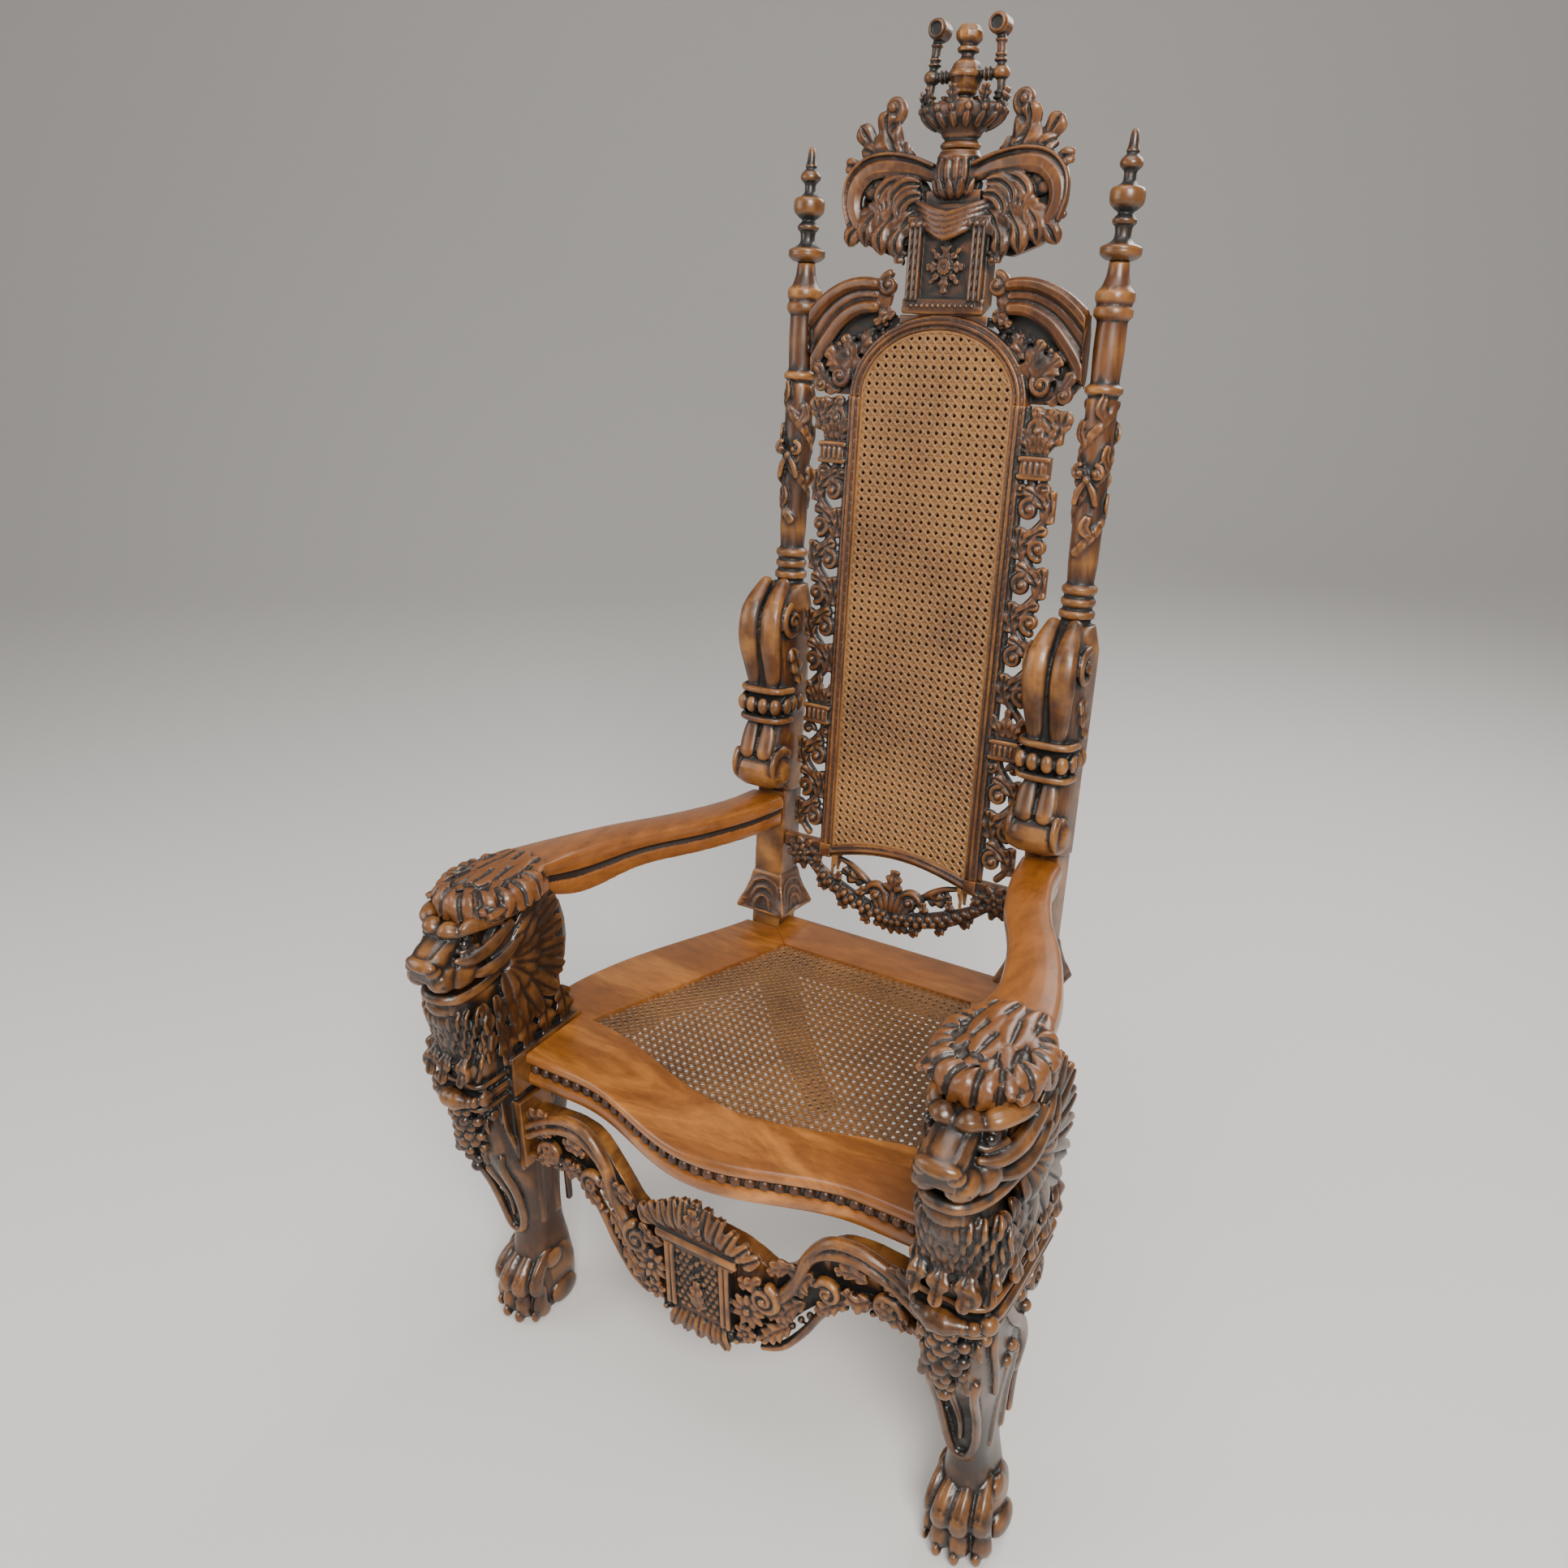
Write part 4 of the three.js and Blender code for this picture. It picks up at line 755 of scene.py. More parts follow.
def lion_face(work):
    """The right half of the face. The whole is mirrored."""
    ball(work, (0, -258, 658), (50, 60, 50))
    # Muzzle with its flat bridge and a groove on each side
    rings = []
    for y, low, high, half in [(-276, 640, 714, 29), (-316, 638, 708, 25), (-346, 640, 698, 24),
                               (-374, 642, 686, 25), (-391, 648, 677, 21)]:
        rings.append([(-half, y, low), (half, y, low), (half, y, high - 8), (half - 6, y, high),
                      (-half + 6, y, high), (-half, y, high - 8)])
    loft(work, rings)
    sweep(work, [(0, -290, 714, 13, 4), (0, -336, 703, 13, 4), (0, -372, 686, 14, 5), (0, -388, 676, 15, 5)],
          UPWARD)
    ball(work, (0, -386, 671), (26, 12, 11))
    ball(work, (18, -383, 664), (11, 11, 9), (0.3, 0, 0))
    # Painted shade in the nostril
    work.deep.append(((11, -397, 657), 7.5))
    # Whisker pads with a groove between them
    ball(work, (19, -368, 648), (20, 24, 18), (0.15, 0, -0.2))
    ball(work, (33, -346, 646), (16, 25, 18), (0.15, 0, -0.25))
    # Painted shade in the groove between the pads
    for y, z in ((-382, 644), (-376, 640), (-360, 640), (-366, 646)):
        work.deep.append(((32 - 0.3 * (380 + y), y, z), 2.6))
    # Brow knobs, eyelids and the eye
    sweep(work, [(3, -350, 700, 8, 7), (14, -349, 707, 13, 10), (26, -340, 704, 10, 8),
                 (38, -331, 708, 13, 10), (51, -308, 706, 11, 9), (57, -286, 700, 7, 7)],
          (0, -0.4, 1.0), sides=10, steps=30)
    sweep(work, [(20, -344, 678, 4), (32, -342, 675, 5), (45, -324, 678, 5)], (0.5, -0.7, 0.4))
    ball(work, (33, -333, 687), 9.5)
    # Painted shade round the eye
    work.deep.append(((34, -337, 688), 15, 0.85))
    # Cheeks, and the folds that sweep back under the eye
    for fold in ([(30, -354, 668, 5), (44, -336, 664, 9), (55, -306, 671, 11), (61, -272, 688, 8)],
                 [(42, -340, 643, 5), (54, -314, 640, 10), (60, -286, 646, 10), (64, -256, 662, 6)]):
        sweep(work, fold, (0.8, -0.5, 0.2), sides=10)
    ball(work, (44, -272, 652), (14, 36, 36))
    # Lower jaw with lips turned up at the corners
    rings = []
    for y, low, high, half in [(-256, 574, 610, 40), (-306, 574, 608, 38), (-346, 582, 612, 32),
                               (-370, 592, 614, 23)]:
        rings.append([(-half, y, low), (half, y, low), (half, y, high - 5), (half - 5, y, high),
                      (-half + 5, y, high), (-half, y, high - 5)])
    loft(work, rings)
    sweep(work, [(0, -376, 616, 7, 8), (16, -372, 615, 7, 8), (32, -354, 614, 7, 8), (44, -326, 618, 7, 8),
                 (52, -300, 626, 7, 7)], UPWARD)
    ball(work, (0, -362, 598), (25, 18, 15))
    # Painted shade in the mouth under the upper lip
    work.deep += [((0, -380, 627), 13), ((14, -382, 627), 12), ((28, -370, 626), 12),
                  ((40, -348, 626), 12), ((50, -322, 631), 11)]


def lion_ruff(work):
    """Broad locks that spread from the corner of the mouth, an ear, and the short curls of the beard."""
    centre = np.array([50.0, -290.0, 634.0])
    ball(work, (46, -212, 628), (16, 50, 84))
    outer = ((54, -200, 708), (60, -184, 684), (62, -178, 650), (62, -178, 612), (61, -184, 576),
             (59, -200, 546), (56, -232, 526), (52, -266, 518))
    for tip, share, lift in [(t, 1.0, 2) for t in outer] + [(t, 0.66, 8) for t in outer[1:]]:
        tip = centre + (np.array(tip, float) - centre) * share
        if share < 1:
            tip = tip + np.array([0, -4.0, 14.0])
        start = centre + (tip - centre) * 0.2
        middle = centre + (tip - centre) * 0.6 + np.array([lift, 0.0, 0.0])
        acanthus(work, [start, middle, tip], 18 if share == 1 else 15, 0, (1.0, -0.35, 0.0), 6.0, -2.0)
    ball(work, (58, -246, 708), (8, 14, 14), (0.3, 0, 0))
    draw = np.random.default_rng(5)
    for row, z in enumerate((594, 578, 562, 546, 530)):
        for k in range(5):
            x = 12.5 * (k + 0.5 * (row % 2))
            y = -368 + 0.011 * x * x + 3 * row
            turn = draw.uniform(-4, 4)
            acanthus(work, [(x * 0.96, y + 6, z), (x, y - 4, z - 12), (x + turn, y - 1, z - 27)], 7.5, 0,
                     FRONT, 3.4, 1.0)
        for y in (-330, -306, -282, -258):
            x = 46 + 3 * (row % 2)
            turn = draw.uniform(-4, 4)
            acanthus(work, [(x, y, z), (x + 6, y + 6 * (row % 2), z - 12), (x + 3, y + turn, z - 28)],
                     8.5, 0, (1, -0.2, 0), 3.6, 1.0)
    # Painted shade over the beard below the chin
    work.deep += [((0, -366, 562), 60, 0.3), ((44, -320, 562), 54, 0.3)]


def lion_chest(work):
    # Leaf collar
    for x, y in ((0, -362), (25, -356), (43, -336)):
        acanthus(work, [(x, y + 12, 534), (x * 1.1, y - 8, 514), (x * 1.16, y - 16, 484)], 14, 3, thick=4.5,
                 curl=4.0)
    for y, x in ((-300, 49), (-262, 51), (-224, 51), (-186, 50)):
        acanthus(work, [(x - 4, y, 544), (x + 5, y, 518), (x + 6, y, 482)], 20, 3, up=(1, 0, 0), thick=6)
    volute(work, (34, -366, 500), 12, 1.0, 1.2, 5, 6)
    # Belt with its barrel, beads and end balls
    sweep(work, [(0, -352, 452, 8, 9), (30, -350, 452, 8, 8), (48, -330, 452, 8, 8), (50, -250, 452, 8, 7),
                 (49, -170, 452, 8, 7)], UPWARD)
    sweep(work, [(0, -366, 452, 14, 14), (8, -366, 452, 14.5, 14.5), (17, -364, 452, 11, 11)], UPWARD,
          sides=12)
    for x, y, r in ((25, -362, 9), (36, -358, 9), (47, -345, 12)):
        ball(work, (x, y, 452), r)
    for z in (470, 434):
        sweep(work, [(0, leg_front(z) - 5, z, 4), (34, leg_front(z) - 2, z, 4), (49, -318, z, 4),
                     (50, -170, z, 4)], UPWARD)
    # Fruit on the chest, with leaves among it
    draw = np.random.default_rng(11)
    rows = [(426, 3), (413, 3), (400, 3), (387, 2), (374, 2), (361, 2), (348, 1), (335, 1), (322, 1)]
    for row, (z, count) in enumerate(rows):
        y = leg_front(z) - 8
        for i in range(count):
            x = 15 * (i + (0.5 if row % 2 else 0.0))
            slip = draw.uniform(-2, 2, 3)
            ball(work, (x + slip[0], y - 4 + 0.02 * x * x + slip[1], z + slip[2]), 8.0 + 0.6 * slip[0])
    for x, z in ((30, 408), (20, 356)):
        y = leg_front(z) - 8 + 0.02 * x * x
        acanthus(work, [(x, y, z + 8), (x + 5, y - 7, z - 4), (x + 9, y - 3, z - 18)], 8, 2, thick=3)
        # Painted shade beside each leaf among the fruit
        work.deep.append(((x - 8, y + 3, z - 6), 11))
    # Painted shade among the fruit
    work.deep.append(((0, leg_front(372) + 2, 372), 30, 0.7))
    # Bands on the flank and the flute of the lower leg, both close to the surface
    for rows, wide in (([(-316, 430), (-314, 384), (-300, 336), (-288, 292)], 5),
                       ([(-286, 424), (-262, 386), (-228, 346), (-210, 302), (-214, 262)], 9)):
        sweep(work, [(leg_half(z) + (wide > 6), y, z, wide, 5) for y, z in rows], (1, 0, 0))
    volute(work, (leg_half(402) + 1, -206, 402), 20, 2.4, 1.4, 7, 6, up=(1.0, 0.0, 0.0), rise=2)
    for y, z in ((-250, 410), (-238, 424), (-226, 372), (-262, 344), (-250, 330), (-270, 326)):
        ball(work, (leg_half(z) + 1, y, z), 8)
    sweep(work, [(x, leg_front(z) + out, z, 6) for x, out, z in (
        (30, 8, 330), (27, 1, 306), (24, -2, 250), (20, -2, 200), (12, -2, 166))]
        + [(0, leg_front(156) - 3, 158, 6)])
    sweep(work, [(0, leg_front(z) - 1, z, wide) for z, wide in ((300, 6), (230, 5), (190, 3))])
    # Painted shade down the flute
    work.deep += [((x, leg_front(z) + 3, z), size, 0.8) for x, z, size in ((13, 240, 13), (11, 200, 12))]
    for y in (-258, -226, -200):
        sweep(work, [(leg_half(z) - 2, y + back, z, wide, 5)
                     for z, back, wide in ((300, 0, 7), (230, 2, 7), (165, 4, 6))], (1, 0, 0))


def lion_paw(work):
    for x, reach in ((11.5, 9), (34, -4)):
        sweep(work, [(x * 0.8, -262 - reach, 104, 9), (x * 0.94, -284 - reach, 86, 13),
                     (x, -295 - reach, 66, 14.5), (x * 1.02, -288 - reach, 48, 12),
                     (x * 1.05, -292 - reach, 28, 14.5), (x * 1.05, -284 - reach, 12, 12.5)],
              (1, 0, 0), sides=10)
        ball(work, (x, -299 - reach, 72), (11, 10, 12))
        ball(work, (x * 1.05, -304 - reach, 14), (6, 8, 12), (0.35, 0, 0))
        # Painted shade above each claw
        work.deep.append(((x * 1.06, -302 - reach, 25), 5))
    # Painted shade between the toes
    work.deep += [(at, 9) for at in ((0, -300, 50), (23, -294, 44), (0, -300, 80), (23, -290, 74),
                                     (0, -296, 24), (23, -292, 20))]
    ball(work, (40, -238, 22), (14, 28, 22))
    ball(work, (30, -234, 62), (14, 30, 44))
    ball(work, (38, -252, 92), (9, 18, 16))


def carve_lion(sizes):
    work = Carving()
    lion_body(work)
    lion_face(work)
    lion_ruff(work)
    lion_chest(work)
    lion_paw(work)
    work.mirror()
    # The inner side is carved lower, to leave room for the seat frame
    work.reshape(0, lambda p: np.where(p[:, 0] < -30, -30 + (p[:, 0] + 30) * 0.52, p[:, 0]))
    block(work, -52, 44, -302, -160, 432, 492)
    block(work, -52, 20, -298, -236, 306, 415)
    work.clip(0, -51.6, 73)
    work.clip(1, -399.6, -160.4)
    work.clip(2, 0.8)
    work.move(LEG_X)
    return fused(work, "lion_leg", 1000 * sizes.grain, 112000)


# Distance of the eyes from the middle of the lion's face
EYE_INNER = 31.5
EYE_OUTER = 34.5


def lion_eyes():
    """Dark glossy beads in the eye sockets."""
    made = []
    for side, name in ((1, "right"), (-1, "left")):
        for k in (-1, 1):
            none_selected()
            inner = k * side < 0
            x = side * LEG_X + k * (EYE_INNER if inner else EYE_OUTER)
            bpy.ops.mesh.primitive_uv_sphere_add(segments=20, ring_count=12, radius=0.0072,
                                                 location=(x * MM, -0.3395, 0.6865))
            eye = bpy.context.object
            bpy.ops.object.transform_apply(location=True, rotation=True, scale=True)
            bpy.ops.object.shade_smooth()
            eye.name = f"lion_eye_{name}_{'inner' if inner else 'outer'}"
            made.append(eye)
    return made


class THRONE_OT_lions(bpy.types.Operator):
    """Carves both lion legs and sets their eyes."""
    bl_idname = "throne.lions"
    bl_label = "Lion legs"

    def execute(self, context):
        pair(carve_lion(context.scene.throne_sizes), "lion_leg", FINISHES["lion"])
        eye_finish, b = blank_material("Dark bead")
        cloud = b.noise(b.place(), 300.0, 2.0)
        tone = b.mix(cloud, (0.004, 0.003, 0.003, 1), (0.02, 0.012, 0.008, 1))
        shader = b.node("BsdfPrincipled", {"Base Color": tone, "Roughness": 0.12, "Coat Weight": 0.6})
        b.node("OutputMaterial", {"Surface": shader.outputs[0]})
        for eye in lion_eyes():
            finished(eye, None, eye_finish)
        return {"FINISHED"}


# Arms

ARM_ROWS = [
    # y, x, half width, top, thickness
    (216, 228, 31, 708, 50), (150, 240, 31, 711, 50), (60, 270, 33, 718, 50), (-30, 314, 35, 725, 52),
    (-112, 344, 38, 731, 66), (-160, 355, 41, 736, 60), (-208, 360, 46, 742, 40),
]


def carve_arm(sizes):
    work = Carving()
    edge = [(0.80, 1.0), (0.86, 0.85), (0.86, 0.62), (0.74, 0.52), (0.84, 0.44), (0.97, 0.40),
            (1.0, 0.28), (0.99, 0.16), (0.92, 0.05), (0.78, 0.0), (0.4, -0.03)]
    profile = [(-0.80, 1.0), *edge, (0.0, -0.04), *[(-u, v) for u, v in edge[:0:-1]]]
    loft(work, [[(x + half * u, y, top - thick * v) for u, v in profile]
                for y, x, half, top, thick in course(ARM_ROWS, 40)])
    # The cap of the mane: overlapping locks, and a thick brim of locks that turn down
    cap = [(-190, 44, 739), (-220, 52, 741), (-262, 55, 739), (-296, 50, 732), (-318, 38, 720)]
    loft(work, [[(LEG_X + half * math.cos(a), y, 702 + (top - 702) * math.sin(a) ** 0.6)
                 for a in np.linspace(0, math.pi, 16)] for y, half, top in course(cap, 20)])
    draw = np.random.default_rng(8)
    rows = [(-286, 4, 27, 734), (-258, 3, 31, 739), (-230, 4, 27, 741), (-202, 3, 29, 741)]
    for y, count, pitch, top in rows:
        for i in range(count):
            off = (i - (count - 1) / 2) * pitch
            z = top - 0.0055 * off * off
            bend, slip = draw.uniform(-9, 9), draw.uniform(-3, 3)
            acanthus(work, [(LEG_X + off * 0.85, y + 20 + slip, z),
                            (LEG_X + off + bend * 0.6, y - 4 + slip, z + 1),
                            (LEG_X + off * 1.2 + bend, y - 30, z - 1 - abs(off) * 0.08)],
                     18, 0, (off * 0.012, -0.15, 1.0), 5.2, 2.5)
    for a in np.linspace(-2.0, 2.0, 10):
        out = np.array([math.sin(a), -math.cos(a), 0.0])
        at = np.array([LEG_X + 48 * math.sin(a), -256 - 62 * math.cos(a), 0.0])
        aside = np.array([-out[1], out[0], 0.0]) * draw.uniform(-6, 6)
        acanthus(work, [at + out * reach + aside * share + np.array([0, 0, z])
                        for reach, share, z in ((-10, 0, 735.0), (6, 1, 731.0), (8, 1.6, 711.0))],
                 19, 0, out * 0.8 + np.array([0, 0, 0.6]), 8.0, 1.0)
    # The cap is darkened, most at its middle, fading back along the arm
    work.deep.append(((LEG_X, -280, 728), 175, 0.46))
    work.clip(2, 655.0, 753.8)
    work.clip(1, -349.0, 216.0)
    return fused(work, "arm", 1.1 * 1000 * sizes.grain, 44000)


class THRONE_OT_arms(bpy.types.Operator):
    """Shapes the arms and the caps of hair they end in."""
    bl_idname = "throne.arms"
    bl_label = "Arms"

    def execute(self, context):
        pair(carve_arm(context.scene.throne_sizes), "arm", FINISHES["arm"])
        return {"FINISHED"}


# Rear posts and spires

def slope(z):
    return (z - SEAT_HEIGHT) / math.cos(RAKE)


def carve_post(sizes):
    work = Carving()
    low, high = slope(712), slope(1030)
    span = high - low

    def level(share):
        return low + share * span

    block(work, -25, 25, -25, 25, -30, low + 40)
    # Flared collar with ridges like a shell
    base = slope(505)
    rings = []
    for rise, half, pull in [(0, 43, 0.86), (5, 45, 0.86), (16, 41, 0.9), (30, 35, 0.95),
                             (46, 30, 1.0), (62, 27, 1.0), (66, 25, 1.0)]:
        z = base + rise
        ring = []
        for k in range(4):
            a = math.pi / 4 + k * math.pi / 2
            b = a + math.pi / 2
            corner = np.array([math.cos(a), math.sin(a)]) * half * math.sqrt(2)
            nearby = np.array([math.cos(b), math.sin(b)]) * half * math.sqrt(2)
            for t in (0.0, 0.2, 0.5, 0.8):
                p = corner * (1 - t) + nearby * t
                inward = 1 - (1 - pull) * math.sin(math.pi * t)
                ring.append((p[0] * inward, p[1] * inward, z))
        rings.append(ring)
    loft(work, rings)
    for k in range(4):
        turn = np.array(Euler((0, 0, k * math.pi / 2)).to_matrix())
        for reach in (12, 20, 28):
            arc = []
            for t in np.linspace(-1, 1, 7):
                x = t * min(36, reach * 1.3)
                z = base + 6 + (reach * 1.7) * math.sqrt(max(0.0, 1 - t * t))
                out = np.interp(z, [base, base + 16, base + 30, base + 60], [40, 38, 33, 27])
                arc.append((*(turn @ np.array([x, -out, z])), 2.6, 2.2))
            sweep(work, arc, turn @ np.array(FRONT), steps=16)
        edge = [turn @ np.array([x, -41, base + 3]) for x in (-42, 0, 42)]
        sweep(work, [(*at, 3) for at in edge], turn @ np.array(FRONT))
    # Scroll bracket
    outline = [(0.0, 34), (0.06, 70), (0.14, 82), (0.24, 72), (0.35, 62), (0.41, 66), (0.5, 70), (0.56, 70),
               (0.68, 80), (0.78, 84), (0.88, 78), (0.96, 52), (1.0, 24)]
    rings = []
    for t, reach in course(outline, 34):
        z = level(t)
        half = (35 if t < 0.4 else 37) - 9 * max(0.0, (t - 0.9) / 0.1)
        ring = []
        for a in np.linspace(0, math.pi, 14):
            ring.append((half * np.sign(math.cos(a)) * abs(math.cos(a)) ** 0.55,
                         -(reach - 6) * math.sin(a) ** 0.55, z))
        ring += [(-half + 4, 12, z), (half - 4, 12, z)]
        rings.append(ring)
    loft(work, rings)
    for hand in (-1, 1):
        # Two long lobes with a groove between them
        sweep(work, [(hand * 15, -44, high + 2, 10, 9), (hand * 18, -74, level(0.9), 16, 11),
                     (hand * 19, -80, level(0.76), 17, 11), (hand * 17, -68, level(0.62), 14, 10),
                     (hand * 15, -62, level(0.53), 10, 8)], sides=12)
        volute(work, (hand * 37, -48, level(0.84)), 26, 1.9, 1.3, 7, 5, -hand, (hand, 0, 0), 2)
        acanthus(work, [(hand * 35, -46, level(0.72)), (hand * 37, -34, level(0.64)),
                        (hand * 36, -22, level(0.54))], 15, 3, up=(hand, 0, 0), thick=4)
        for x, y in ((10, -76), (28, -71)):
            ball(work, (hand * x, y, level(0.445)), (9.5, 9, 13))
        for k in range(3):
            ball(work, (hand * 37, -54 + 19 * k, level(0.445)), (6, 9, 13))
        volute(work, (hand * 32, -56, level(0.14)), 27, 0.8, 1.6, 9, 6, -hand, (hand, 0, 0), 3)
        sweep(work, [(hand * 12, -62, level(0.37), 9, 6), (hand * 15, -68, level(0.3), 13, 7),
                     (hand * 15, -76, level(0.22), 14, 7)], sides=12)
    sweep(work, [(x, -56, level(0.12), 29) for x in (-20, 20)], UPWARD, sides=20, steps=8)
    band = ((-36, -40), (-30, -66), (0, -73), (30, -66), (36, -40))
    for share in (0.515, 0.375):
        sweep(work, [(x, y, level(share), 6) for x, y in band], UPWARD)
    # Turned shaft with rings, a capital, and the foliage and ribbon round its middle
    ring, capital = high + 20, SHAFT_TOP - 62
    lathe(work, [(1, low + 5), (19.5, low + 5), (19.5, ring - 14), (24, ring - 12), (24, ring - 4),
                 (18, ring), (23, ring + 6), (23, ring + 12), (18, ring + 16), (23.5, ring + 22),
                 (23.5, ring + 28), (17.5, ring + 33), (19.5, ring + 60), (20, capital - 100), (18, capital - 96),
                 (24, capital - 91), (24, capital - 85), (18, capital - 80), (19.5, capital - 40),
                 (19, capital - 6), (24.5, capital), (24.5, capital + 8), (21, capital + 12),
                 (24.5, capital + 18), (24.5, capital + 27), (18, capital + 34), (14, SHAFT_TOP - 16),
                 (12.5, SHAFT_TOP), (1, SHAFT_TOP)], around=40)
    ends = (ring + 74, capital - 104)
    for hand in (0.0, math.pi):
        rows = []
        for t in np.linspace(0, 1, 20):
            a = hand + t * 2.6 * math.pi - 0.6 * math.pi
            z = ends[0] + t * (ends[1] - ends[0])
            rows.append((20.4 * math.cos(a), 20.4 * math.sin(a), z, 6.5, 2.4))
        path = np.array([r[:3] for r in rows])
        for k in range(len(rows) - 1):
            a = hand + (k + 0.5) / 19 * 2.6 * math.pi - 0.6 * math.pi
            sweep(work, [rows[k], rows[k + 1]], (math.cos(a), math.sin(a), 0), steps=3)
        for start in path[2:18:3]:
            out = unit(start * np.array([1, 1, 0]))
            spine = raised(start, np.cross(out, UPWARD), ((0, 0), (9, 12), (6, 27)))
            acanthus(work, spine, 8, 0, out, 2.6, 0)
    middle = (ends[0] + ends[1]) / 2
    for hand in (-1, 1):
        volute(work, (hand * 11, -24, middle + 8), 10, math.pi / 2, 1.0, 4, 4, hand=hand)
        sweep(work, [(0, -24, middle, 4), (hand * 9, -25, middle - 14, 5, 3),
                     (hand * 14, -23, middle - 30, 4, 3)])
    ball(work, (0, -25, middle), 6)
    work.lean()
    # Rear leg that sweeps back to the floor
    rings = []
    for i in range(15):
        t = i / 14
        half = (44 + 8 * t) / 2
        y = 378 + (POST_SEAT_Y - 378) * (1 - (1 - t) ** 1.8)
        c = half - 4
        corners = [(-c, -half), (c, -half), (half, -c), (half, c),
                   (c, half), (-c, half), (-half, c), (-half, -c)]
        rings.append([(u, y + v, t * (SEAT_HEIGHT - 2)) for u, v in corners])
    loft(work, rings)
    work.move(POST_X)
    work.clip(1, high=399.8)
    work.clip(2, 0.5)
    return fused(work, "rear_post", 1.15 * 1000 * sizes.grain, 56000)


def turned_spire():
    """A spire spun from its profile."""
    profile = [(0, 0.4), (12, 0.4), (12, 1), (19, 3), (25, 8), (25.5, 12.5), (25, 17), (17, 21), (11, 26),
               (10, 33), (11, 40), (14, 43), (15, 47), (12, 51), (9, 55), (14, 59), (20, 65), (21.5, 73.5),
               (20, 82), (12, 86), (8, 90), (7.5, 95), (8, 101), (13, 106), (14, 110), (12, 115), (7, 120),
               (8, 123), (6, 130), (4, 145), (0, 147)]
    mesh = bpy.data.meshes.new("finial")
    points = course([(r, 0.0, z) for r, z in profile], 90)
    points[0, 0] = points[-1, 0] = 0.0
    points = np.maximum(points, 0.0) * MM
    mesh.from_pydata(points.tolist(), [(i, i + 1) for i in range(len(points) - 1)], [])
    obj = linked("finial", mesh)
    only(obj)
    bpy.ops.object.mode_set(mode="EDIT")
    bpy.ops.mesh.select_all(action="SELECT")
    bpy.ops.mesh.spin(steps=32, angle=2 * math.pi, center=(0, 0, 0), axis=(0, 0, 1))
    bpy.ops.mesh.select_all(action="SELECT")
    bpy.ops.mesh.remove_doubles(threshold=0.00001)
    bpy.ops.mesh.normals_make_consistent(inside=False)
    bpy.ops.object.mode_set(mode="OBJECT")
    co = points_of(obj.data) + np.array([POST_X, 0.0, SHAFT_TOP])
    obj.data.vertices.foreach_set("co", (leant(co) * MM).ravel())
    obj.data.update()
    mark_depth(obj)
    bpy.ops.object.shade_smooth()
    return obj


class THRONE_OT_posts(bpy.types.Operator):
    """Carves the rear posts and spins their spires."""
    bl_idname = "throne.posts"
    bl_label = "Rear posts"

    def execute(self, context):
        pair(carve_post(context.scene.throne_sizes), "rear_post", FINISHES["carved"])
        pair(turned_spire(), "finial", FINISHES["lion"])
        return {"FINISHED"}


# Back frame

def arch_point(angle, outset):
    return ((OPENING + outset) * math.cos(angle), ARCH_SPRING + (ARCH_RISE + outset) * math.sin(angle))


def bottom_line(x):
    return 150 + 26 * math.cos(math.pi / 2 * x / 131)


